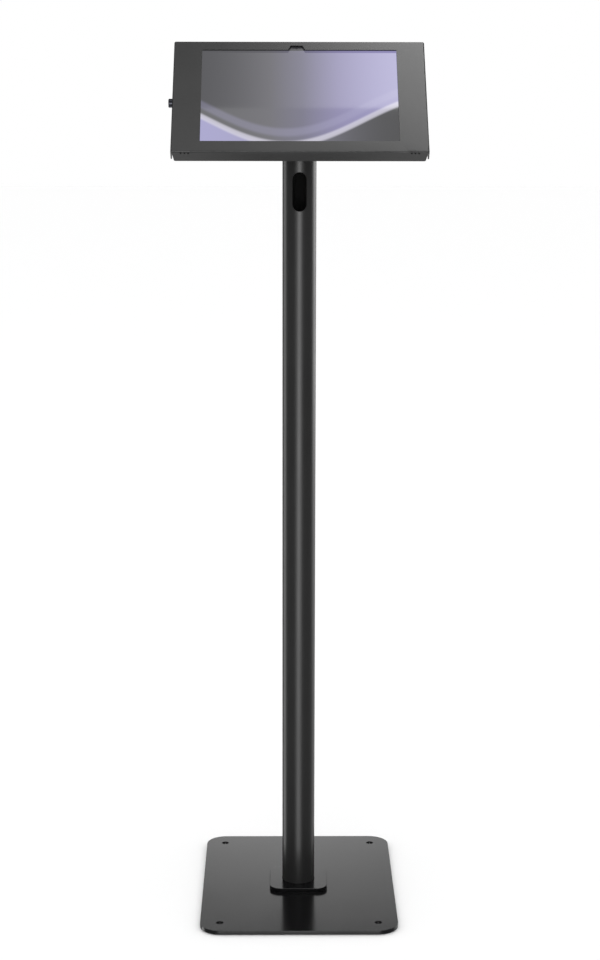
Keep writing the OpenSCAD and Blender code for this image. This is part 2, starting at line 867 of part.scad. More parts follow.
module lock_cam() {
    color(steel) in_head() difference() {
        union() {
            rod_x(2 * hub_r, cam_x, cam_t, lock_v, lock_n);
            translate([cam_x, lock_v - cam_w / 2, lock_n - cam_reach])
                cube([cam_t, cam_w, cam_reach]);
        }
        translate([cam_x - through, lock_v - tang_w / 2 - slip_gap, lock_n - tang_w / 2 - slip_gap])
            cube([cam_t + 2 * through, tang_w + 2 * slip_gap, tang_w + 2 * slip_gap]);
    }
}

module cam_screw() {
    head_x = cam_x + cam_t;
    color(steel) in_head() difference() {
        union() {
            rod_x(cam_screw_d - 2 * slip_gap, cam_x - 2.5, cam_t + 2.6, lock_v, lock_n);
            rod_x(2 * hub_r - 1.4, head_x, cam_screw_head_h, lock_v, lock_n);
        }
        translate([head_x + cam_screw_head_h / 2, lock_v - hub_r, lock_n - 0.3])
            cube([cam_screw_head_h, 2 * hub_r, 0.6]);
    }
}

base_mat();
base_plate();
foot_screws();
foot_flange();
foot_weld();
tube_left();
tube_right();
tube_front();
tube_back();
tube_neck();
tube_exit();
plate_weld();
mount_plate();
tray_screws();
cable_grommet();
back_tray();
hinge_leaf();
hinge_pin();
lock_catch();
catch_rivets();
back_pads();
left_spacers();
right_spacers();
edge_strips();
tablet_shell();
tablet_glass();
display_panel();
mid_plate();
battery_cells();
logic_board();
speaker_boxes();
front_camera();
charge_port();
power_key();
volume_key();
front_cover();
window_gasket();
lock_body();
lock_nut();
lock_plug();
lock_cam();
cam_screw();
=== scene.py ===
"""Touchscreen kiosk: the visible pieces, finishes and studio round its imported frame.

Sizes in the classes are millimetres. Pieces of the leaning head are drawn in the head's own axes:
x across, v up the face and n out of the face, with n = 0 at the back of the tray.
"""

import logging
import math
from collections.abc import Callable, Iterable, Sequence
from dataclasses import dataclass, field
from enum import Enum
from functools import partial

import bmesh
import bpy
from mathutils import Matrix, Vector
from mathutils.geometry import delaunay_2d_cdt


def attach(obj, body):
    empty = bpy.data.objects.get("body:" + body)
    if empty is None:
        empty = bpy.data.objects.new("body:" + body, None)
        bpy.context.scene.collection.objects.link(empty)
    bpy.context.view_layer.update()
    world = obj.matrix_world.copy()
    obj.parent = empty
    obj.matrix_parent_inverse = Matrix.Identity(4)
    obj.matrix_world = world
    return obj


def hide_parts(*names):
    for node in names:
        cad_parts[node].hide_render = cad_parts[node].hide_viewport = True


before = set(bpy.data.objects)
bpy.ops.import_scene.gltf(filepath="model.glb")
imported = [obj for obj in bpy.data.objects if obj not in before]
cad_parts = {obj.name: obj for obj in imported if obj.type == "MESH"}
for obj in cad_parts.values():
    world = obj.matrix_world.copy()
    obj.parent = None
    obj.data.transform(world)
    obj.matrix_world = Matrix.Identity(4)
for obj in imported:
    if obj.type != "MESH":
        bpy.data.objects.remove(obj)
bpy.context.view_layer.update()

LOG = logging.getLogger("kiosk")
MM = 0.001
# the tray's back is at HEAD_Z on the column's axis, on a plate MOUNT_T thick that leans back
LEAN = math.radians(45)
HEAD_Z = 1016.5
MOUNT_T = 4.0
SEED = 7

Loop = list[tuple[float, float]]
Point = tuple[float, float, float]
Mapping = Callable[[float, float], Point]


class Place(Enum):
    """The axes that a piece is drawn in, as the matrix that takes them to the floor frame."""

    FLOOR = Matrix.Identity(4)
    HEAD = Matrix.Translation((0, 0, HEAD_Z)) @ Matrix.Rotation(math.pi / 2 - LEAN, 4, "X")


class Body(Enum):
    """The bodies that pieces ride on."""

    STAND = "stand"
    COVER = "cover"
    LOCK = "lock_cylinder"
    POWER = "power_button"
    VOLUME = "volume_button"


# ---- Nodes and finishes ----


def srgb(code: str) -> tuple[float, float, float, float]:
    """Turns an sRGB hex colour into linear light.

    Args:
        code: Six hex digits after a hash.

    Returns:
        Linear red, green and blue, and an alpha of 1.
    """
    parts = [int(code[i : i + 2], 16) / 255 for i in (1, 3, 5)]
    linear = [c / 12.92 if c <= 0.04045 else ((c + 0.055) / 1.055) ** 2.4 for c in parts]
    return (linear[0], linear[1], linear[2], 1.0)


def add_node(
    tree: bpy.types.NodeTree,
    kind: str,
    inputs: dict | None = None,
    links: dict | None = None,
    **settings: object,
) -> bpy.types.Node:
    """Adds one node with its settings, socket values and links.

    Args:
        tree: The tree that takes the node.
        kind: The node's type name.
        inputs: Socket name or number to value.
        links: Socket name or number to the output that feeds it.
        settings: The node's own attributes.

    Returns:
        The new node.
    """
    node = tree.nodes.new(kind)
    for key, value in settings.items():
        setattr(node, key, value)
    for key, value in (inputs or {}).items():
        node.inputs[key].default_value = value
    for key, source in (links or {}).items():
        tree.links.new(source, node.inputs[key])
    return node


def arithmetic(tree: bpy.types.NodeTree, operation: str, *values: object) -> bpy.types.NodeSocket:
    """Adds one step of arithmetic.

    Args:
        tree: The tree that takes the node.
        operation: The step's name.
        values: Its numbers and the outputs that feed it, in order.

    Returns:
        The result's socket.
    """
    fixed = {i: v for i, v in enumerate(values) if isinstance(v, (int, float))}
    fed = {i: v for i, v in enumerate(values) if i not in fixed}
    return add_node(tree, "ShaderNodeMath", fixed, fed, operation=operation).outputs[0]


@dataclass(frozen=True)
class Recipe:
    """A material in the making: its node tree, its shader and the piece's coordinates."""

    tree: bpy.types.NodeTree
    shader: bpy.types.Node
    coords: bpy.types.NodeSocket

    def feed(self, name: str, source: bpy.types.NodeSocket) -> None:
        """Lets an output drive one of the shader's inputs."""
        self.tree.links.new(source, self.shader.inputs[name])

    def textured(
        self,
        pattern: bpy.types.NodeSocket,
        strength: float,
        depth_mm: float,
        gloss: tuple[float, float] | None = None,
    ) -> None:
        """Lets a pattern show as bump and, if asked, as a change in gloss.

        Args:
            pattern: The pattern's output, from 0 to 1.
            strength: Strength of the bump.
            depth_mm: Height of the bump.
            gloss: Roughness where the pattern is 0 and where it is 1.
        """
        bump = add_node(
            self.tree,
            "ShaderNodeBump",
            {"Strength": strength, "Distance": depth_mm * MM},
            {"Height": pattern},
        )
        self.feed("Normal", bump.outputs[0])
        if gloss:
            rough = add_node(
                self.tree,
                "ShaderNodeMapRange",
                {"To Min": gloss[0], "To Max": gloss[1]},
                {"Value": pattern},
            )
            self.feed("Roughness", rough.outputs[0])


@dataclass(frozen=True)
class Finish:
    """A named surface finish; each kind paints its own nodes."""

    name: str
    colour: str

    def material(self) -> bpy.types.Material:
        """Builds the material, once.

        Returns:
            The material, the same one each time.
        """
        known = bpy.data.materials.get(self.name)
        if known:
            return known
        made = bpy.data.materials.new(self.name)
        made.use_nodes = True
        made.diffuse_color = srgb(self.colour)
        tree = made.node_tree
        tree.nodes.clear()
        coords = add_node(tree, "ShaderNodeTexCoord").outputs["Object"]
        shader = add_node(tree, "ShaderNodeBsdfPrincipled", {"Base Color": srgb(self.colour)})
        add_node(tree, "ShaderNodeOutputMaterial", links={"Surface": shader.outputs[0]})
        self.paint(Recipe(tree, shader, coords))
        return made

    def paint(self, recipe: Recipe) -> None:
        """Adds the nodes of one kind of finish; each kind has its own."""
        raise NotImplementedError


@dataclass(frozen=True)
class MattPaper(Finish):
    """Background paper: plain, with no sheen at all."""

    def paint(self, recipe: Recipe) -> None:
        """Takes the gloss away."""
        recipe.shader.inputs["Roughness"].default_value = 1.0


@dataclass(frozen=True)
class PowderCoat(Finish):
    """Polyester powder baked on steel: fine orange peel under a soft sheen."""

    roughness: float
    pale: str
    spread: float
    peel_mm: float = 1.8
    peel_depth_mm: float = 0.012
    drift_mm: float = 90.0

    def paint(self, recipe: Recipe) -> None:
        """Draws the peel as bump, and a slow drift of colour and gloss.

        Args:
            recipe: The material in the making.
        """
        tree = recipe.tree
        drift = add_node(
            tree,
            "ShaderNodeTexNoise",
            {"Scale": 1 / (self.drift_mm * MM), "Detail": 3.0},
            {"Vector": recipe.coords},
        ).outputs["Fac"]
        # powder grains run together into shallow waves; the real peel is about 1 mm across,
        # drawn a little coarser so that it shows
        peel = add_node(
            tree,
            "ShaderNodeTexNoise",
            {"Scale": 1 / (self.peel_mm * MM), "Detail": 2.0, "Roughness": 0.45},
            {"Vector": recipe.coords},
        ).outputs["Fac"]
        gloss = add_node(
            tree,
            "ShaderNodeMapRange",
            {"From Min": 0.3, "From Max": 0.7, "To Min": self.roughness - self.spread,
             "To Max": self.roughness + self.spread},
            {"Value": drift},
        )
        mix = add_node(
            tree,
            "ShaderNodeMix",
            {6: srgb(self.colour), 7: srgb(self.pale)},
            {0: arithmetic(tree, "MULTIPLY", drift, 0.5)},
            data_type="RGBA",
        )
        recipe.feed("Base Color", mix.outputs[2])
        recipe.feed("Roughness", gloss.outputs[0])
        recipe.textured(peel, 0.55, self.peel_depth_mm)


@dataclass(frozen=True)
class TubeCoat(PowderCoat):
    """Powder coat on the outside of an upright tube; inside, bare steel painted near-black as
    painted shade of the tube's hollow.
    """

    bore_limit_mm: float = 20.0
    # near-black bore: bare steel darkened into painted shade, so that the tube's hollow shows black
    scale_and_shade_colour: str = "#050505"
    scale_roughness: float = 0.95

    def paint(self, recipe: Recipe) -> None:
        """Lays the coat first, then the near-black bore, bare steel with painted shade, wherever
        the wall is near the tube's axis.

        Args:
            recipe: The material in the making.
        """
        super().paint(recipe)
        maths = partial(arithmetic, recipe.tree)
        axes = add_node(recipe.tree, "ShaderNodeSeparateXYZ", links={0: recipe.coords})
        squares = [maths("MULTIPLY", axes.outputs[i], axes.outputs[i]) for i in (0, 1)]
        inner = maths("LESS_THAN", maths("SQRT", maths("ADD", *squares)), self.bore_limit_mm * MM)
        # inside the bore: the colour is pushed near-black as painted shade, with a dull gloss
        for name, kind, first, bore_value, out in (
            ("Base Color", "RGBA", 6, srgb(self.scale_and_shade_colour), 2),
            ("Roughness", "FLOAT", 2, self.scale_roughness, 0),
        ):
            coat = recipe.shader.inputs[name].links[0].from_socket
            mix = add_node(
                recipe.tree,
                "ShaderNodeMix",
                {first + 1: bore_value},
                {0: inner, first: coat},
                data_type=kind,
            )
            recipe.feed(name, mix.outputs[out])


@dataclass(frozen=True)
class PlatedMetal(Finish):
    """Zinc or nickel plate: a bright metal with faint drawn streaks."""

    roughness: float
    streak_mm: float = 0.6
    stretch: float = 0.12
    depth_mm: float = 0.004

    def paint(self, recipe: Recipe) -> None:
        """Draws the streaks of drawn wire or sheet, in gloss and in a shallow bump.

        Args:
            recipe: The material in the making.
        """
        stretched = add_node(
            recipe.tree,
            "ShaderNodeMapping",
            {"Scale": (1.0, 1.0, self.stretch)},
            {"Vector": recipe.coords},
        )
        streaks = add_node(
            recipe.tree,
            "ShaderNodeTexNoise",
            {"Scale": 1 / (self.streak_mm * MM), "Detail": 3.0},
            {"Vector": stretched.outputs[0]},
        )
        gloss = (self.roughness * 0.7, self.roughness * 1.35)
        recipe.shader.inputs["Metallic"].default_value = 1.0
        recipe.textured(streaks.outputs["Fac"], 0.25, self.depth_mm, gloss)


@dataclass(frozen=True)
class CellFoam(Finish):
    """Closed-cell foam or rubber: dull, with small cells or grains that catch the light."""

    pale: str
    cell_mm: float
    depth_mm: float
    roughness: float = 0.92

    def paint(self, recipe: Recipe) -> None:
        """Draws the cells as bump, with paler walls between them.

        Args:
            recipe: The material in the making.
        """
        cells = add_node(
            recipe.tree,
            "ShaderNodeTexVoronoi",
            {"Scale": 1 / (self.cell_mm * MM)},
            {"Vector": recipe.coords},
        ).outputs["Distance"]
        mix = add_node(
            recipe.tree,
            "ShaderNodeMix",
            {6: srgb(self.colour), 7: srgb(self.pale)},
            {0: cells},
            data_type="RGBA",
        )
        recipe.shader.inputs["Roughness"].default_value = self.roughness
        recipe.feed("Base Color", mix.outputs[2])
        recipe.textured(cells, 0.8, self.depth_mm)


@dataclass(frozen=True)
class BlastedAluminium(Finish):
    """Anodised aluminium, bead blasted first: an even, fine-grained metal sheen."""

    roughness: float = 0.38
    spread: float = 0.06
    grain_mm: float = 0.35
    depth_mm: float = 0.01

    def paint(self, recipe: Recipe) -> None:
        """Draws tiny dents from the beads, coarser than the real 0.1 mm so that they show.

        Args:
            recipe: The material in the making.
        """
        grain = add_node(
            recipe.tree,
            "ShaderNodeTexNoise",
            {"Scale": 1 / (self.grain_mm * MM), "Detail": 1.0},
            {"Vector": recipe.coords},
        )
        gloss = (self.roughness - self.spread, self.roughness + self.spread)
        recipe.shader.inputs["Metallic"].default_value = 1.0
        recipe.textured(grain.outputs["Fac"], 0.3, self.depth_mm, gloss)


@dataclass(frozen=True)
class MouldedSkin(Finish):
    """Moulded plastic, film or solder mask: a smooth skin with slight waves."""

    roughness: float
    spread: float = 0.08
    wave_mm: float = 4.0
    depth_mm: float = 0.03

    def paint(self, recipe: Recipe) -> None:
        """Draws the waves as bump, with a little change in gloss.

        Args:
            recipe: The material in the making.
        """
        waves = add_node(
            recipe.tree,
            "ShaderNodeTexNoise",
            {"Scale": 1 / (self.wave_mm * MM), "Detail": 4.0},
            {"Vector": recipe.coords},
        )
        gloss = (self.roughness - self.spread, self.roughness + self.spread)
        recipe.textured(waves.outputs["Fac"], 0.4, self.depth_mm, gloss)


@dataclass(frozen=True)
class LitScreen(Finish):
    """Cover glass over a lit picture of soft ribbons, with a dark printed border.

    Lengths are millimetres in the head's axes; a stop is a share of the width and a colour.
    """

    glow: float = 1.0
    picture: tuple[float, float] = (242.0, 153.0)
    centre_v: float = 1.2
    edge: float = 0.1
    lens: tuple[float, float, float] = (-3.4, 81.2, 2.2)
    lens_colour: str = "#101318"
    behind_picture: str = "#050506"
    wash: tuple[tuple[float, str], ...] = (
        (0.0, "#5c5c5f"), (0.28, "#66656b"), (0.52, "#6f6d80"), (0.78, "#8681a6"),
        (1.0, "#928db8"),
    )
    dune: tuple[tuple[float, str], ...] = (
        (0.0, "#a19ec6"), (0.35, "#9a97b0"), (0.7, "#5f5e69"), (1.0, "#39393b"),
    )
    wave_length: float = 380.0
    wave_start: float = 0.28 - math.pi / 2
    wave_height: float = 40.0
    wave_level: float = -34.0
    dune_edge: tuple[float, float] = (-1.0, 7.0)
    # each ribbon's depth below the crest, half its width, its colour and its strength
    ribbons: tuple[tuple[float, float, str, float], ...] = (
        (3.0, 5.0, "#cdcad8", 0.75), (-16.0, 7.0, "#a9a6c6", 0.25),
    )

    def paint(self, recipe: Recipe) -> None:
        """Draws the picture in the head's axes, then the border and the camera's lens.

        Args:
            recipe: The material in the making.
        """
        tree = recipe.tree
        maths = partial(arithmetic, tree)
        local = add_node(
            tree,
            "ShaderNodeMapping",
            {"Location": (0, 0, HEAD_Z * MM), "Rotation": (math.pi / 2 - LEAN, 0, 0),
             "Scale": (MM, MM, MM)},
            {"Vector": recipe.coords},
            vector_type="TEXTURE",
        )
        axes = add_node(tree, "ShaderNodeSeparateXYZ", links={0: local.outputs[0]})
        across, up = axes.outputs[0], axes.outputs[1]
        half_x, half_v = self.picture[0] / 2, self.picture[1] / 2

        def rise(value: bpy.types.NodeSocket, low: float, high: float) -> bpy.types.NodeSocket:
            """0 below low, 1 above high, smooth between."""
            return add_node(
                tree,
                "ShaderNodeMapRange",
                {"From Min": low, "From Max": high},
                {"Value": value},
                interpolation_type="SMOOTHSTEP",
            ).outputs[0]

        def blend(
            share: bpy.types.NodeSocket, under: object, over: object
        ) -> bpy.types.NodeSocket:
            """Mixes two colours.

            Args:
                share: How much of the second shows.
                under: The first, a hex code or a socket.
                over: The second, a hex code or a socket.

            Returns:
                The mixed colour.
            """
            fixed = {i: srgb(c) for i, c in ((6, under), (7, over)) if isinstance(c, str)}
            fed = {i: c for i, c in ((6, under), (7, over)) if not isinstance(c, str)}
            return add_node(
                tree, "ShaderNodeMix", fixed, {0: share, **fed}, data_type="RGBA"
            ).outputs[2]

        def shaded(stops: tuple[tuple[float, str], ...]) -> bpy.types.NodeSocket:
            """Makes a colour that changes from the left of the picture to its right.

            Args:
                stops: Shares of the width with their colours, in order.

            Returns:
                The colour.
            """
            ramp = add_node(tree, "ShaderNodeValToRGB", links={0: rise(across, -half_x, half_x)})
            ends = ramp.color_ramp.elements
            ends[0].color, ends[1].color = srgb(stops[0][1]), srgb(stops[-1][1])
            for at, code in stops[1:-1]:
                ends.new(at).color = srgb(code)
            return ramp.outputs[0]

        # a broad dune, pale at the left and dark at the right, under a wash of grey to violet
        angle = maths("MULTIPLY_ADD", across, 2 * math.pi / self.wave_length, self.wave_start)
        crest = maths("MULTIPLY_ADD", maths("SINE", angle), self.wave_height, self.wave_level)
        below = maths("SUBTRACT", crest, up)
        colour = blend(rise(below, *self.dune_edge), shaded(self.wash), shaded(self.dune))
        # ribbons with soft edges that follow the dune's crest
        for depth, half, code, most in self.ribbons:
            off = maths("ABSOLUTE", maths("SUBTRACT", below, depth))
            faded = maths("SUBTRACT", 1.0, rise(off, half * 0.4, half * 1.4))
            colour = blend(maths("MULTIPLY", faded, most), colour, code)
        off_centre = maths("ABSOLUTE", maths("SUBTRACT", up, self.centre_v))
        border = maths(
            "MAXIMUM",
            rise(maths("ABSOLUTE", across), half_x - self.edge, half_x + self.edge),
            rise(off_centre, half_v - self.edge, half_v + self.edge),
        )
        lens_x, lens_v, lens_r = self.lens
        squares = [
            maths("POWER", maths("SUBTRACT", value, middle), 2.0)
            for value, middle in ((across, lens_x), (up, lens_v))
        ]
        lens_off = maths("SQRT", maths("ADD", *squares))
        base = blend(border, self.behind_picture, self.colour)
        base = blend(rise(lens_off, lens_r * 0.5, lens_r), self.lens_colour, base)
        recipe.shader.inputs["Roughness"].default_value = 0.04
        recipe.shader.inputs["Emission Strength"].default_value = self.glow
        recipe.feed("Base Color", base)
        recipe.feed("Emission Color", blend(border, colour, "#000000"))


# Semi-gloss powder on the thick plates: gives a dim mirror of what stands on it
BASE_COAT = PowderCoat("semi_gloss_powder_coat", "#0a0a0b", 0.16, "#111112", 0.02)
# Satin powder on the folded sheet, the mounting plate and its weld: a broad, soft highlight
SATIN_COAT = PowderCoat("satin_powder_coat", "#1f1f1f", 0.31, "#272727", 0.03)
# The same satin powder on the tube, whose bore is uncoated and painted nearly black as painted
# shade inside the tube
TUBE_COAT = TubeCoat("tube_powder_coat", "#1f1f1f", 0.31, "#272727", 0.03)
# Zinc-plated steel of the screws, rivets, nut and cam: pale, slightly streaked metal
ZINC_STEEL = PlatedMetal("zinc_plated_steel", "#b9bcc0", 0.3)
# Black nickel on the lock's head: dark, but still sharply reflecting
BLACK_NICKEL = PlatedMetal("black_nickel_plate", "#3c3d42", 0.2)
# Nickel-plated brass of the key plug: a warmer, brighter disc in the dark head
NICKEL_BRASS = PlatedMetal("nickel_plated_brass", "#b3ae9f", 0.24)
# Closed-cell foam: black and dull, with cells of about 0.6 mm
BLACK_FOAM = CellFoam("closed_cell_foam", "#151517", "#2b2b2e", 0.6, 0.12)
# Matt rubber of the mat and grommet: a fine grain that breaks up the light
MATT_RUBBER = CellFoam("matt_rubber", "#121214", "#1e1e20", 0.9, 0.04, 0.72)
# Dark anodised aluminium of the tablet's shell and keys
DARK_ALUMINIUM = BlastedAluminium("dark_anodised_aluminium", "#5b5c61")
# Cover glass bonded to the lit display
SCREEN = LitScreen("lit_cover_glass", "#3a3a3d")
# Polymer film round the battery cells
CELL_FILM = MouldedSkin("battery_polymer_film", "#26282d", 0.45)
# Green solder mask over the board's copper
SOLDER_MASK = MouldedSkin("green_solder_mask", "#17492f", 0.35)
# Moulded black plastic of the speaker boxes and camera housing
BLACK_PLASTIC = MouldedSkin("moulded_black_plastic", "#18181a", 0.5)
# Optical sheets of the display's back
PANEL_FILM = MouldedSkin("display_panel_film", "#77758c", 0.25)
# Seamless paper under and behind the object: white and quite dull
BACKGROUND_PAPER = MattPaper("matt_white_paper", "#f6f6f6")


# ---- Outlines and meshes ----


def arc(centre: tuple[float, float], radius: float, start: float, end: float, steps: int) -> Loop:
    """Points on an arc, both ends included.

    Args:
        centre: The arc's centre.
        radius: Its radius.
        start: First angle in degrees.
        end: Last angle in degrees.
        steps: Number of segments.

    Returns:
        The points in order.
    """
    angles = [math.radians(start + (end - start) * i / steps) for i in range(steps + 1)]
    return [(centre[0] + radius * math.cos(a), centre[1] + radius * math.sin(a)) for a in angles]


def round_rect(width: float, height: float, radius: float, up: float = 0.0) -> Loop:
    """A rectangle with round corners, centred at (0, up).

    Args:
        width: Its full width.
        height: Its full height.
        radius: Corner radius.
        up: Height of its centre.

    Returns:
        The loop.
    """
    x, y = width / 2 - radius, height / 2 - radius
    corners = ((x, y, 0), (-x, y, 90), (-x, -y, 180), (x, -y, 270))
    return [p for cx, cy, a in corners for p in arc((cx, cy + up), radius, a, a + 90, 8)]


def four_corners(dx: float, dy: float) -> list[tuple[float, float]]:
    """The corners of a rectangle centred at the origin."""
    return [(sx * dx / 2, sy * dy / 2) for sx in (-1, 1) for sy in (-1, 1)]


def round_hole(x: float, y: float, diameter: float, steps: int = 40) -> Loop:
    """A circle as a loop."""
    return arc((x, y), diameter / 2, 0, 360, steps)[:-1]


def slot_hole(x: float, y: float, width: float, height: float) -> Loop:
    """A slot with full round ends, long side up."""
    half = (height - width) / 2
    return arc((x, y + half), width / 2, 0, 180, 20) + arc((x, y - half), width / 2, 180, 360, 20)


def inside(loop: Loop, x: float, y: float) -> bool:
    """Counts the edges to the right of a point, to tell whether a closed loop holds it.

    Args:
        loop: The loop.
        x: The point's x.
        y: The point's y.

    Returns:
        True if the point lies inside.
    """
    crossings = 0
    for (x0, y0), (x1, y1) in zip(loop, loop[1:] + loop[:1]):
        if (y0 > y) != (y1 > y) and x < x0 + (y - y0) * (x1 - x0) / (y1 - y0):
            crossings += 1
    return crossings % 2 == 1


def blank(outline: Loop, holes: Sequence[Loop] = ()) -> bmesh.types.BMesh:
    """Fills a flat outline around its holes.

    Args:
        outline: The outer loop.
        holes: The loops left open.

    Returns:
        The flat mesh, facing up.
    """
    points: list[Vector] = []
    edges: list[tuple[int, int]] = []
    for loop in (outline, *holes):
        first, count = len(points), len(loop)
        points += [Vector(p) for p in loop]
        edges += [(first + i, first + (i + 1) % count) for i in range(count)]
    # this fills all within the outline, holes too, so the triangles in the holes are left out
    filled = delaunay_2d_cdt(points, edges, [], 1, 1e-4)
    mesh = bmesh.new()
    verts = [mesh.verts.new((p[0], p[1], 0)) for p in filled[0]]
    for face in filled[2]:
        corners = [verts[i] for i in face]
        middle = sum((v.co for v in corners), Vector()) / len(corners)
        if not any(inside(loop, middle.x, middle.y) for loop in holes):
            mesh.faces.new(corners)
    loose = [v for v in mesh.verts if not v.link_faces]
    bmesh.ops.delete(mesh, geom=loose, context="VERTS")
    return mesh


def scored(mesh: bmesh.types.BMesh, across: Iterable[float], up: Iterable[float]) -> None:
    """Cuts straight lines through a flat blank, so that it can bend there.

    Args:
        mesh: The blank.
        across: Places of the lines at a constant x.
        up: Places of the lines at a constant y.
    """
    for axis, places in ((0, across), (1, up)):
        normal = Vector((1, 0, 0)) if axis == 0 else Vector((0, 1, 0))
        for place in places:
            geometry = [*mesh.verts, *mesh.edges, *mesh.faces]
            bmesh.ops.bisect_plane(mesh, geom=geometry, plane_co=normal * place, plane_no=normal,
                                   dist=1e-5)


def shaped(mesh: bmesh.types.BMesh, mapping: Mapping) -> None:
    """Moves each point of a flat blank to its place on the formed sheet."""
    for vert in mesh.verts:
        vert.co = mapping(vert.co.x, vert.co.y)


def lathe(profile: Sequence[tuple[float, float]], steps: int = 64) -> bmesh.types.BMesh:
    """Turns a closed profile round the local z axis.

    Args:
        profile: (radius, height) points in order round the section.
        steps: Segments round the axis.

    Returns:
        The closed mesh.
    """
    mesh = bmesh.new()
    rings = [
        [
            mesh.verts.new((r * math.cos(2 * math.pi * i / steps),
                            r * math.sin(2 * math.pi * i / steps), z))
            for i in range(steps)
        ]
        for r, z in profile
    ]
    for ring, following in zip(rings, rings[1:] + rings[:1]):
        for i in range(steps):
            j = (i + 1) % steps
            mesh.faces.new((ring[i], ring[j], following[j], following[i]))
    bmesh.ops.remove_doubles(mesh, verts=mesh.verts, dist=1e-5)
    bmesh.ops.recalc_face_normals(mesh, faces=mesh.faces)
    return mesh


def box_mesh(mesh: bmesh.types.BMesh, low: Point, high: Point) -> None:
    """Adds a box to a mesh.

    Args:
        mesh: The mesh that takes it.
        low: Its lowest corner.
        high: Its highest corner.
    """
    size = [b - a for a, b in zip(low, high)]
    middle = [(a + b) / 2 for a, b in zip(low, high)]
    matrix = Matrix.Translation(middle) @ Matrix.Diagonal((*size, 1))
    bmesh.ops.create_cube(mesh, size=1.0, matrix=matrix)


def join(mesh: bmesh.types.BMesh, part: bmesh.types.BMesh) -> None:
    """Adds a part to a mesh.

    Args:
        mesh: The mesh that takes it.
        part: The part, which is freed.
    """
    stock = bpy.data.meshes.new("stock")
    part.to_mesh(stock)
    part.free()
    mesh.from_mesh(stock)
    bpy.data.meshes.remove(stock)


def pipe(
    mesh: bmesh.types.BMesh, centre: Point, outer: float, inner: float, length: float
) -> None:
    """Adds a short pipe along the y axis to a mesh, its outer rims broken.

    Args:
        mesh: The mesh that takes it.
        centre: The pipe's middle.
        outer: Outer diameter.
        inner: Bore diameter.
        length: Its length.
    """
    edge, half = 0.2, length / 2
    part = lathe(
        [(inner / 2, -half), (outer / 2 - edge, -half), (outer / 2, -half + edge),
         (outer / 2, half - edge), (outer / 2 - edge, half), (inner / 2, half)],
        40,
    )
    part.transform(Matrix.Translation(centre) @ Matrix.Rotation(-math.pi / 2, 4, "X"))
    join(mesh, part)


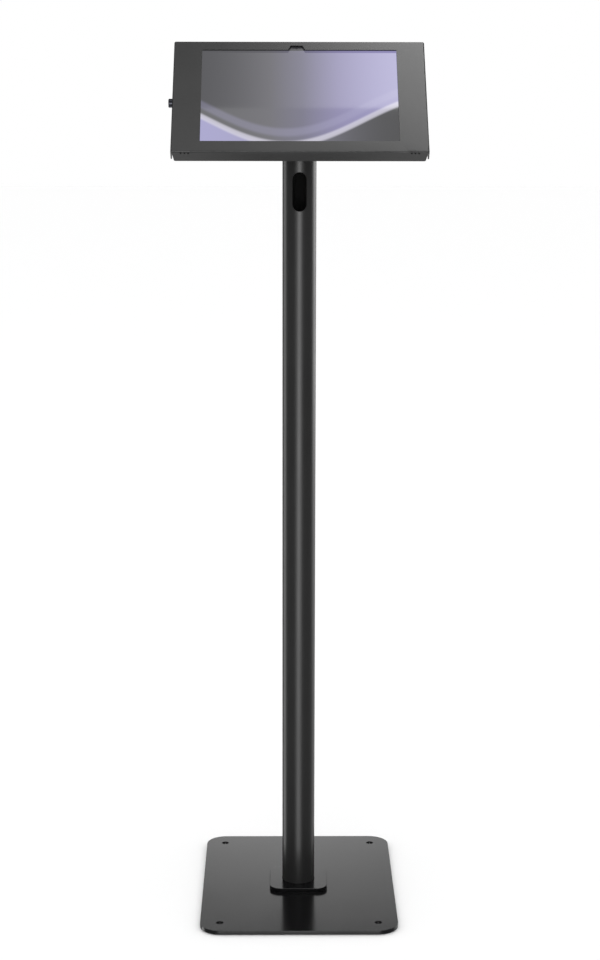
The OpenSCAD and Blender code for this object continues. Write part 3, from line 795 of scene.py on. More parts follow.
class Smith:
    """Turns drawn meshes into finished pieces: walls, edges, shading, finish and body."""

    # how much sharper than a rounded edge an edge has to be to stay sharp in the shading
    SHARPER = 16.0

    @staticmethod
    def linked(name: str, mesh: bmesh.types.BMesh) -> bpy.types.Object:
        """Makes an object of the scene from a mesh in metres.

        Args:
            name: The object's name.
            mesh: Its mesh, which is freed.

        Returns:
            The object.
        """
        data = bpy.data.meshes.new(name)
        mesh.to_mesh(data)
        mesh.free()
        made = bpy.data.objects.new(name, data)
        bpy.context.scene.collection.objects.link(made)
        return made

    @staticmethod
    def object(name: str, mesh: bmesh.types.BMesh, place: Place) -> bpy.types.Object:
        """Makes an object from a drawing in millimetres, with its place in its mesh.

        Args:
            name: The object's name.
            mesh: The drawing, which is freed.
            place: The axes that it is drawn in.

        Returns:
            The object.
        """
        # flat areas become single faces, so that their shading stays even
        bmesh.ops.dissolve_limit(mesh, angle_limit=math.radians(0.2), verts=mesh.verts,
                                 edges=mesh.edges)
        mesh.transform(place.value)
        mesh.transform(Matrix.Scale(MM, 4))
        return Smith.linked(name, mesh)

    @staticmethod
    def applied(made: bpy.types.Object) -> bpy.types.Object:
        """Replaces an object's mesh with what its modifiers give, and removes them.

        Args:
            made: The object.

        Returns:
            The same object.
        """
        bpy.context.view_layer.update()
        graph = bpy.context.evaluated_depsgraph_get()
        result = bpy.data.meshes.new_from_object(
            made.evaluated_get(graph), preserve_all_data_layers=True, depsgraph=graph
        )
        old = made.data
        made.modifiers.clear()
        made.data = result
        result.name = made.name
        if old.users == 0:
            bpy.data.meshes.remove(old)
        return made

    @staticmethod
    def edged(
        made: bpy.types.Object, wall: float = 0.0, edge: float = 0.0, segments: int = 2,
        sharp: float = 34.0,
    ) -> bpy.types.Object:
        """Gives a sheet its wall, rounds its edges and evens out its shading.

        Args:
            made: The object.
            wall: Sheet thickness, which grows inwards, or 0 for a closed shape.
            edge: Width of the rounded edges, or 0.
            segments: Steps across each rounded edge.
            sharp: Angle in degrees above which an edge is rounded.

        Returns:
            The same object with its mesh finished.
        """
        if wall:
            solid = made.modifiers.new("wall", "SOLIDIFY")
            solid.thickness, solid.offset = wall * MM, -1.0
            solid.use_even_offset = True
        if edge:
            bevel = made.modifiers.new("edges", "BEVEL")
            bevel.width, bevel.segments = edge * MM, segments
            bevel.limit_method, bevel.angle_limit = "ANGLE", math.radians(sharp)
            bevel.use_clamp_overlap = True
        Smith.applied(made)
        data = made.data
        data.polygons.foreach_set("use_smooth", [True] * len(data.polygons))
        data.set_sharp_from_angle(angle=math.radians(sharp + Smith.SHARPER))
        evened = made.modifiers.new("shading", "WEIGHTED_NORMAL")
        evened.keep_sharp = True
        return Smith.applied(made)

    @staticmethod
    def settled(
        made: bpy.types.Object, finish: Finish, body: Body, slot: str, *nodes: str
    ) -> bpy.types.Object:
        """Gives a piece its finish and body, and lets it stand for CAD nodes.

        Args:
            made: The finished object.
            finish: Its surface.
            body: The body it rides on.
            slot: The record's material slot; not used.
            nodes: The CAD nodes it replaces.

        Returns:
            The same object.
        """
        made.data.materials.clear()
        made.data.materials.append(finish.material())
        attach(made, body.value)
        if nodes:
            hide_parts(*nodes)
        LOG.info("%s: %d faces", made.name, len(made.data.polygons))
        return made

    @staticmethod
    def refined(
        node: str, name: str, finish: Finish, body: Body, slot: str, edge: float,
        segments: int = 2,
    ) -> bpy.types.Object:
        """Builds a piece from a merged copy of a CAD node, with its edges rounded.

        Args:
            node: The CAD node.
            name: The new piece's name.
            finish: Its surface.
            body: The body it rides on.
            slot: The record's material slot.
            edge: Width of the rounded edges.
            segments: Steps across each rounded edge.

        Returns:
            The finished piece.
        """
        mesh = bmesh.new()
        mesh.from_mesh(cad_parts[node].data)
        bmesh.ops.remove_doubles(mesh, verts=mesh.verts, dist=2e-6)
        bmesh.ops.dissolve_limit(mesh, angle_limit=math.radians(0.5), verts=mesh.verts,
                                 edges=mesh.edges)
        made = Smith.edged(Smith.linked(name, mesh), edge=edge, segments=segments)
        return Smith.settled(made, finish, body, slot, node)

    @staticmethod
    def dressed(node: str, finish: Finish) -> None:
        """Puts a finish on a CAD node whose shape stays as it is.

        Args:
            node: The CAD node.
            finish: Its surface.
        """
        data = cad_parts[node].data
        data.materials.clear()
        data.materials.append(finish.material())


class Repeat:
    """Geometry Nodes trees that set one small shape at many places."""

    @staticmethod
    def tree(name: str, part: bpy.types.Object, material: bpy.types.Material) -> bpy.types.NodeTree:
        """Builds the tree: a copy of a part at each point, turned to the point's normal.

        Args:
            name: The tree's name.
            part: The shape that is repeated.
            material: Its finish.

        Returns:
            The tree, with inputs Size, Twist and Uneven.
        """
        tree = bpy.data.node_groups.new(name, "GeometryNodeTree")
        face = tree.interface
        face.new_socket("Geometry", in_out="INPUT", socket_type="NodeSocketGeometry")
        for label, value in (("Size", 1.0), ("Twist", 0.0), ("Uneven", 0.0)):
            socket = face.new_socket(label, in_out="INPUT", socket_type="NodeSocketFloat")
            socket.default_value = value
        face.new_socket("Geometry", in_out="OUTPUT", socket_type="NodeSocketGeometry")
        entry = add_node(tree, "NodeGroupInput")
        shape = add_node(tree, "GeometryNodeObjectInfo", {"Object": part})
        points = add_node(
            tree, "GeometryNodeMeshToPoints", links={"Mesh": entry.outputs["Geometry"]}
        )
        tangent = add_node(
            tree, "GeometryNodeInputNamedAttribute", {"Name": "along"}, data_type="FLOAT_VECTOR"
        )
        stored = add_node(
            tree, "GeometryNodeInputNamedAttribute", {"Name": "out"}, data_type="FLOAT_VECTOR"
        )
        upright = add_node(
            tree,
            "FunctionNodeAlignRotationToVector",
            links={"Vector": stored.outputs["Attribute"]},
            axis="Z",
        )
        turned = add_node(
            tree,
            "FunctionNodeAlignRotationToVector",
            links={"Rotation": upright.outputs[0], "Vector": tangent.outputs["Attribute"]},
            axis="X",
            pivot_axis="Z",
        )
        chance = add_node(
            tree,
            "FunctionNodeRandomValue",
            {2: -1.0, 3: 1.0, "Seed": SEED},
            data_type="FLOAT",
        ).outputs[1]
        swing = arithmetic(tree, "MULTIPLY", chance, entry.outputs["Twist"])
        spin = add_node(tree, "ShaderNodeCombineXYZ", links={"Z": swing})
        twisted = add_node(
            tree,
            "FunctionNodeRotateRotation",
            links={"Rotation": turned.outputs[0], "Rotate By": spin.outputs[0]},
            rotation_space="LOCAL",
        )
        wobble = arithmetic(tree, "MULTIPLY", chance, entry.outputs["Uneven"])
        placed = add_node(
            tree,
            "GeometryNodeInstanceOnPoints",
            links={
                "Points": points.outputs[0],
                "Instance": shape.outputs["Geometry"],
                "Rotation": twisted.outputs[0],
                "Scale": arithmetic(tree, "ADD", wobble, entry.outputs["Size"]),
            },
        )
        real = add_node(
            tree, "GeometryNodeRealizeInstances", links={"Geometry": placed.outputs[0]}
        )
        painted = add_node(
            tree,
            "GeometryNodeSetMaterial",
            {"Material": material},
            {"Geometry": real.outputs[0]},
        )
        add_node(tree, "NodeGroupOutput", links={"Geometry": painted.outputs[0]})
        return tree

    @staticmethod
    def along(
        name: str, part: bmesh.types.BMesh, points: Sequence[tuple[Point, Point, Point]],
        place: Place, finish: Finish, twist: float = 0.0, uneven: float = 0.0,
    ) -> bpy.types.Object:
        """Sets a part at each point and turns the result into a plain mesh.

        Args:
            name: The piece's name.
            part: The shape, drawn in millimetres with its foot at the origin and z outwards.
            points: (place, outward direction, direction of the part's x) for each copy.
            place: The axes of those points.
            finish: The part's surface.
            twist: Most random turn about z, in radians.
            uneven: Most random change of size.

        Returns:
            The finished object.
        """
        shape = Smith.object(name + "_part", part, Place.FLOOR)
        shape.data.polygons.foreach_set("use_smooth", [True] * len(shape.data.polygons))
        shape.data.set_sharp_from_angle(angle=math.radians(40))
        turn = place.value.to_3x3()
        data = bpy.data.meshes.new(name)
        data.from_pydata([(place.value @ Vector(p)) * MM for p, _, _ in points], [], [])
        for label, index in (("out", 1), ("along", 2)):
            layer = data.attributes.new(label, "FLOAT_VECTOR", "POINT")
            values = [c for point in points for c in turn @ Vector(point[index])]
            layer.data.foreach_set("vector", values)
        made = bpy.data.objects.new(name, data)
        bpy.context.scene.collection.objects.link(made)
        tree = Repeat.tree(name + "_tree", shape, finish.material())
        modifier = made.modifiers.new("repeat", "NODES")
        modifier.node_group = tree
        named = {item.name: item.identifier for item in tree.interface.items_tree
                 if item.in_out == "INPUT"}
        modifier[named["Size"]] = 1.0
        modifier[named["Twist"]] = float(twist)
        modifier[named["Uneven"]] = float(uneven)
        Smith.applied(made)
        bpy.data.objects.remove(shape)
        return made


# ---- Sub-assemblies ----


@dataclass
class FloorBase:
    """The flat base: rubber mat, thick plate, foot flange and its screws."""

    width: float = 250.0
    depth: float = 318.0
    thickness: float = 5.0
    corner: float = 26.0
    mat: float = 1.0
    mat_inset: float = 3.0
    anchor_inset: float = 25.0
    anchor_hole: float = 9.0
    anchor_clear: float = 6.0
    flange: float = 75.0
    flange_corner: float = 14.0
    mat_edge: float = 0.2
    plate_edge: float = 0.5
    tube: float = 42.0
    screw_pitch: float = 54.0
    screw: float = 6.0
    screw_l: float = 8.7
    screw_clear: float = 2.0
    sink_gap: float = 0.4
    tube_gap: float = 0.1

    def anchors(self) -> list[tuple[float, float]]:
        """Centres of the floor anchor holes."""
        inset = 2 * self.anchor_inset
        return four_corners(self.width - inset, self.depth - inset)

    def plate(
        self, name: str, outline: Loop, holes: list[Loop], bottom: float, top: float, edge: float
    ) -> bpy.types.Object:
        """Builds one flat plate with holes.

        Args:
            name: The piece's name.
            outline: Its outer loop.
            holes: Its holes.
            bottom: Height of its underside.
            top: Height of its upper side.
            edge: Width of its rounded edges.

        Returns:
            The plate.
        """
        mesh = blank(outline, holes)
        mesh.transform(Matrix.Translation((0, 0, top)))
        made = Smith.object(name, mesh, Place.FLOOR)
        return Smith.edged(made, wall=top - bottom, edge=edge, segments=3)

    def build(self) -> None:
        """Builds and dresses every piece of the base."""
        top = self.mat + self.thickness
        screws = four_corners(self.screw_pitch, self.screw_pitch)
        shrink = 2 * self.mat_inset
        mat = self.plate(
            "rubber_mat",
            round_rect(self.width - shrink, self.depth - shrink, self.corner - self.mat_inset),
            [round_hole(x, y, self.anchor_hole + self.anchor_clear) for x, y in self.anchors()]
            + [round_hole(x, y, 2 * self.screw + self.screw_clear) for x, y in screws],
            0.0, self.mat, self.mat_edge,
        )
        Smith.settled(mat, MATT_RUBBER, Body.STAND, "mat_rubber", "base_mat")
        plate = self.plate(
            "floor_plate",
            round_rect(self.width, self.depth, self.corner),
            [round_hole(x, y, self.anchor_hole) for x, y in self.anchors()]
            + [round_hole(x, y, 2 * self.screw + self.sink_gap) for x, y in screws],
            self.mat, top, self.plate_edge,
        )
        Smith.settled(plate, BASE_COAT, Body.STAND, "base_coat", "base_plate")
        flange = self.plate(
            "foot_plate",
            round_rect(self.flange, self.flange, self.flange_corner),
            [round_hole(0, 0, self.tube + self.tube_gap, 96)],
            top, top + self.thickness, self.plate_edge,
        )
        Smith.settled(flange, BASE_COAT, Body.STAND, "base_coat", "foot_flange")
        Smith.dressed("foot_weld", ZINC_STEEL)
        self.screws(screws)

    def screws(self, places: Sequence[tuple[float, float]]) -> None:
        """Sets the countersunk screws that hold the foot flange from below.

        Args:
            places: The screws' centres.
        """
        r, tip = self.screw / 2, self.screw_l
        # from the drive recess in the head, over its cone and up the shank to the tip
        body = lathe([(0, 0.6), (r * 0.8, 0.6), (r * 0.8, 0.05), (2 * r - 0.15, 0.0), (2 * r, 0.2),
                      (r, r + 0.1), (r - 0.05, tip - 0.1), (r - 0.5, tip), (0, tip)], 24)
        points = [((x, y, self.mat + 0.05), (0, 0, 1), (1, 0, 0)) for x, y in places]
        made = Repeat.along("foot_screw_set", body, points, Place.FLOOR, ZINC_STEEL)
        Smith.settled(made, ZINC_STEEL, Body.STAND, "bare_steel", "foot_screws")


@dataclass
class Column:
    """The round tube, rolled from a flat blank with its cable slot and exit."""

    radius: float = 21.0
    wall: float = 2.0
    bottom: float = 7.5
    cut_z: float = HEAD_Z - MOUNT_T * math.sqrt(2)
    slot: tuple[float, float, float] = (18.0, 48.0, 913.0)
    exit: tuple[float, float, float] = (16.0, 30.0, 56.0)
    strips: int = 96
    ripples: int = 84
    ripple_r: float = 1.7
    ripple_half: float = 1.15
    bead_out: float = 0.55
    bead_n: float = -4.75

    def rolled_hole(self, size: tuple[float, float, float], turn: float) -> Loop:
        """A slot cut straight through the tube, unrolled onto the blank.

        Args:
            size: Width, height and centre height of the slot.
            turn: Angle of its middle round the tube, from the front.

        Returns:
            The loop on the blank.
        """
        width, height, middle = size
        return [
            (self.radius * (turn + math.asin(x / self.radius)), z)
            for x, z in slot_hole(0, middle, width, height)
        ]

    def roll(self, s: float, z: float) -> Point:
        """Wraps a point of the blank round the tube's axis."""
        turn = s / self.radius
        return (self.radius * math.sin(turn), -self.radius * math.cos(turn), z)

    def build(self) -> None:
        """Builds and dresses the tube and the bead under the head."""
        start, end = -math.pi / 2, 1.5 * math.pi
        turns = [start + (end - start) * i / self.strips for i in range(self.strips + 1)]
        top = [(self.radius * t, self.cut_z - self.radius * math.cos(t)) for t in turns]
        outline = [(self.radius * start, self.bottom), (self.radius * end, self.bottom), *top[::-1]]
        mesh = blank(
            outline, [self.rolled_hole(self.slot, 0.0), self.rolled_hole(self.exit, math.pi)]
        )
        scored(mesh, [self.radius * t for t in turns[1:-1]], [])
        shaped(mesh, self.roll)
        bmesh.ops.remove_doubles(mesh, verts=mesh.verts, dist=1e-3)
        tube = Smith.object("round_tube", mesh, Place.FLOOR)
        Smith.edged(tube, wall=self.wall, edge=0.35)
        Smith.settled(tube, TUBE_COAT, Body.STAND, "satin_coat", "tube_left", "tube_right",
                      "tube_front", "tube_back", "tube_neck", "tube_exit")
        self.bead()

    def bead(self) -> None:
        """Lays the rippled weld bead round the tube's slanted end."""
        ripple = bmesh.new()
        bmesh.ops.create_uvsphere(ripple, u_segments=12, v_segments=8, radius=1.0)
        ripple.transform(Matrix.Diagonal((self.ripple_half, self.ripple_r, self.ripple_r, 1)))
        reach = self.radius + self.bead_out
        points = []
        for i in range(self.ripples):
            t = 2 * math.pi * i / self.ripples
            place = (reach * math.cos(t), reach * math.sqrt(2) * math.sin(t), self.bead_n)
            along = Vector((-reach * math.sin(t), reach * math.sqrt(2) * math.cos(t), 0))
            points.append((place, (0, 0, 1), tuple(along.normalized())))
        made = Repeat.along("weld_bead", ripple, points, Place.HEAD, SATIN_COAT, 0.12, 0.06)
        Smith.settled(made, SATIN_COAT, Body.STAND, "satin_coat", "plate_weld")


@dataclass
class FoldedSheet:
    """A rectangular tray of sheet folded on four sides, from a flat blank."""

    width: float
    height: float
    sheet: float = 1.5
    radius: float = 2.0
    web_n: float = 0.0
    tip_n: float = 15.9
    steps: int = 6

    @property
    def sense(self) -> int:
        """1 if the sides fold towards +n, else -1."""
        return 1 if self.tip_n > self.web_n else -1

    @property
    def bend(self) -> float:
        """Length of a bend on the outer side of the sheet."""
        return self.radius * math.pi / 2

    def flat_at(self, half: float, n: float) -> float:
        """Place on the blank of a point of a side at depth n.

        Args:
            half: Half of the sheet's outer size across that side.
            n: Depth of the point.

        Returns:
            Distance from the middle of the blank.
        """
        return half - self.radius + self.bend + abs(n - self.web_n) - self.radius

    def folded(self, place: float, half: float) -> tuple[float, float]:
        """Folds one coordinate of the blank.

        Args:
            place: Signed distance from the middle of the blank.
            half: Half of the sheet's outer size that way.

        Returns:
            The coordinate after folding, and how far the point has gone down the side.
        """
        past = abs(place) - (half - self.radius)
        if past <= 0:
            return place, 0.0
        sign = math.copysign(1.0, place)
        if past <= self.bend:
            angle = past / self.radius
            return (sign * (half - self.radius + self.radius * math.sin(angle)),
                    self.radius * (1 - math.cos(angle)))
        return sign * half, self.radius + past - self.bend

    def fold(self, a: float, b: float) -> Point:
        """Takes a point of the blank to its place on the folded sheet.

        Args:
            a: The point's place across the blank.
            b: Its place up the blank.

        Returns:
            Its place in the head's axes.
        """
        x, down_x = self.folded(a, self.width / 2)
        v, down_v = self.folded(b, self.height / 2)
        return (x, v, self.web_n + self.sense * (down_x + down_v))

    def lines(self, half: float) -> list[float]:
        """Places of the lines that one pair of bends needs."""
        steps = [half - self.radius + self.bend * i / self.steps for i in range(self.steps + 1)]
        return [s * x for x in steps for s in (-1, 1)]

    def formed(self, outline: Loop, holes: Sequence[Loop]) -> bmesh.types.BMesh:
        """Cuts, scores and folds the blank.

        Args:
            outline: Outer loop of the blank.
            holes: Its holes.

        Returns:
            The folded sheet, its outer side facing out.
        """
        mesh = blank(outline, holes)
        scored(mesh, self.lines(self.width / 2), self.lines(self.height / 2))
        shaped(mesh, self.fold)
        if self.sense > 0:
            bmesh.ops.reverse_faces(mesh, faces=mesh.faces)
        return mesh


def mirrored(quarter: Loop) -> Loop:
    """Closes a first-quadrant path, from the right side to the top, into a full outline."""
    upper = quarter + [(-x, y) for x, y in reversed(quarter)]
    return upper + [(x, -y) for x, y in reversed(upper)]


@dataclass(frozen=True)
class CamLock:
    """The cam lock in the cover's left side: housing, nut, key plug, cam and its screw."""

    v: float = -5.5
    n: float = 9.7
    hole: float = 8.3
    notch: float = 13.15
    head_r: float = 5.5
    head_h: float = 4.8
    bevel: float = 0.8
    barrel_r: float = 4.0
    barrel_l: float = 9.0
    bore_r: float = 2.55
    collar_r: float = 3.65
    collar_h: float = 1.05
    thread_start: float = 2.0
    thread_pitch: float = 0.7
    thread_depth: float = 0.28
    threads: int = 9

    def section(self) -> list[tuple[float, float]]:
        """The housing's section: bore, collar seat, head, shoulder and threaded barrel.

        Returns:
            (radius, depth) points; the cover's outer side is at depth 0.
        """
        front, seat = -self.head_h, -self.head_h + self.collar_h
        thread: list[tuple[float, float]] = []
        for i in range(self.threads):
            crest = self.thread_start + self.thread_pitch * i
            thread += [(self.barrel_r, crest),
                       (self.barrel_r - self.thread_depth, crest + self.thread_pitch / 2)]
        return [
            (self.bore_r, self.barrel_l), (self.bore_r, seat), (self.collar_r, seat),
            (self.collar_r, front + 0.15), (self.collar_r + 0.15, front),
            (self.head_r - self.bevel, front), (self.head_r - 0.15, front + self.bevel * 0.8),
            (self.head_r, front + self.bevel * 1.3), (self.head_r, -0.25),
            (self.head_r - 0.25, 0.0), (self.barrel_r, 0.0), *thread,
            (self.barrel_r, self.barrel_l - 0.4), (self.barrel_r - 0.4, self.barrel_l),
        ]

    def build(self, side_x: float) -> None:
        """Builds and dresses the lock.

        Args:
            side_x: Place of the cover's outer left side.
        """
        mesh = lathe(self.section(), 64)
        mesh.transform(
            Matrix.Translation((side_x, self.v, self.n)) @ Matrix.Rotation(math.pi / 2, 4, "Y")
        )
        housing = Smith.object("lock_housing", mesh, Place.HEAD)
        Smith.edged(housing)
        Smith.settled(housing, BLACK_NICKEL, Body.COVER, "lock_metal", "lock_body")
        for node, name, finish, body, slot, edge in (
            ("lock_nut", "barrel_nut", ZINC_STEEL, Body.COVER, "bare_steel", 0.3),
            ("lock_plug", "key_plug", NICKEL_BRASS, Body.LOCK, "plug_metal", 0.12),
            ("lock_cam", "lock_finger", ZINC_STEEL, Body.LOCK, "bare_steel", 0.15),
            ("cam_screw", "finger_screw", ZINC_STEEL, Body.LOCK, "bare_steel", 0.12),
        ):
            Smith.refined(node, name, finish, body, slot, edge)


@dataclass
class BackTray(FoldedSheet):
    """The fixed tray behind the tablet, on its mounting plate."""

    width: float = 305.0
    height: float = 178.0
    relief: float = 10.0
    tip_corner: float = 2.0
    plate: float = 120.0
    plate_corner: float = 8.0
    pitch: float = 100.0
    screw: float = 4.0
    cable_hole: float = 28.0
    grommet_wall: float = 2.5
    grommet_rim: float = 3.0
    grommet_lip: float = 1.5
    catch_t: float = 1.2
    rivet_hole: float = 3.0
    rivets: tuple[tuple[float, float], ...] = ((-144.95, 7.9), (-144.95, 14.4))
    lock: CamLock = CamLock()

    def outline(self) -> Loop:
        """The cross-shaped blank with round tips and the notch for the lock.

        Returns:
            The loop.
        """
        tip_a = self.flat_at(self.width / 2, self.tip_n)
        tip_b = self.flat_at(self.height / 2, self.tip_n)
        side, end = self.width / 2 - self.relief, self.height / 2 - self.relief
        r = self.tip_corner
        loop = mirrored([
            *arc((tip_a - r, end - r), r, 0, 90, 4),
            (side, end),
            *arc((side - r, tip_b - r), r, 0, 90, 4),
        ])
        bottom = self.flat_at(self.width / 2, self.lock.n)
        half = self.lock.notch / 2
        notch = [
            (-tip_a, self.lock.v + half),
            *arc((-bottom, self.lock.v), half, 90, -90, 16),
            (-tip_a, self.lock.v - half),
        ]
        # the notch comes between the left tip's upper and lower corners
        upper = [i for i, (x, y) in enumerate(loop) if x < -tip_a + 1e-6 and y > 0]
        return loop[: upper[-1] + 1] + notch + loop[upper[-1] + 1 :]

    def build(self) -> None:
        """Builds the tray, its plate, screws, grommet and catch."""
        corners = four_corners(self.pitch, self.pitch)
        holes = [round_hole(0, 0, self.cable_hole, 64)]
        holes += [round_hole(x, v, self.screw + 0.5, 24) for x, v in corners]
        holes += [round_hole(x, v, self.rivet_hole, 24) for x, v in self.rivets]
        tray = Smith.object("folded_tray", self.formed(self.outline(), holes), Place.HEAD)
        Smith.edged(tray, wall=self.sheet, edge=0.25)
        Smith.settled(tray, SATIN_COAT, Body.STAND, "satin_coat", "back_tray")

        mesh = blank(
            round_rect(self.plate, self.plate, self.plate_corner),
            [round_hole(0, 0, self.cable_hole, 64)]
            + [round_hole(x, v, self.screw, 24) for x, v in corners],
        )
        plate = Smith.object("mounting_plate", mesh, Place.HEAD)
        Smith.edged(plate, wall=MOUNT_T, edge=0.5, segments=3)
        Smith.settled(plate, SATIN_COAT, Body.STAND, "satin_coat", "mount_plate")
        self.screws(corners)
        self.rivet_pair()
        self.grommet()
        self.brackets()

    def screws(self, places: Sequence[tuple[float, float]]) -> None:
        """Sets the pan-head screws in the tray's floor.

        Args:
            places: The screws' centres.
        """
        r, head_h, tip = self.screw, 0.55 * self.screw, -MOUNT_T - self.sheet
        # from the tip up the shank, over the head's crown and down into its drive recess
        screw = lathe([(0, tip), (r / 2, tip), (r / 2, 0), (r, 0), (r, head_h * 0.5),
                       (r * 0.86, head_h * 0.85), (r * 0.62, head_h), (r * 0.55, head_h),
                       (r * 0.52, head_h * 0.4), (0, head_h * 0.4)], 24)
        points = [((x, v, self.sheet), (0, 0, 1), (1, 0, 0)) for x, v in places]
        made = Repeat.along("tray_screw_set", screw, points, Place.HEAD, ZINC_STEEL, 0.8)
        Smith.settled(made, ZINC_STEEL, Body.STAND, "bare_steel", "tray_screws")

    def rivet_pair(self) -> None:
        """Sets the two rivets through the tray and the lock's catch."""
        low = -self.sheet - self.catch_t
        # the set head below, the shank, and the domed head above
        rivet = lathe([(0, low - 0.9), (1.6, low - 0.9), (2.4, low - 0.5), (2.5, low - 0.05),
                       (1.45, low), (1.45, 0), (2.5, 0.05), (2.4, 0.5), (1.6, 0.88), (0, 0.9)], 24)
        points = [((x, v, -low), (0, 0, 1), (1, 0, 0)) for x, v in self.rivets]
        made = Repeat.along("catch_rivet_set", rivet, points, Place.HEAD, ZINC_STEEL)
        Smith.settled(made, ZINC_STEEL, Body.STAND, "bare_steel", "catch_rivets")

    def grommet(self) -> None:
        """Turns the rubber grommet in the cable hole."""
        r, low, high = self.cable_hole / 2, -MOUNT_T, self.sheet
        bore, rim, lip = r - self.grommet_wall, r + self.grommet_rim, self.grommet_lip
        ring = lathe(
            [(bore, low - lip), (rim - 0.8, low - lip), (rim, low - lip + 0.6), (rim, low),
             (r, low), (r, high), (rim, high), (rim, high + lip - 0.6), (rim - 0.8, high + lip),
             (bore + 0.5, high + lip), (bore, high + lip - 0.5)],
            72,
        )
        made = Smith.object("rubber_grommet", ring, Place.HEAD)
        Smith.edged(made)
        Smith.settled(made, MATT_RUBBER, Body.STAND, "mat_rubber", "cable_grommet")

    def brackets(self) -> None:
        """Rounds the edges of the catch and the hinge's fixed parts."""
        for node, name, finish, slot, edge in (
            ("lock_catch", "catch_bracket", ZINC_STEEL, "bare_steel", 0.15),
            ("hinge_leaf", "hinge_strip", SATIN_COAT, "satin_coat", 0.2),
            ("hinge_pin", "hinge_rod", ZINC_STEEL, "bare_steel", 0.2),
        ):
            Smith.refined(node, name, finish, Body.STAND, slot, edge)


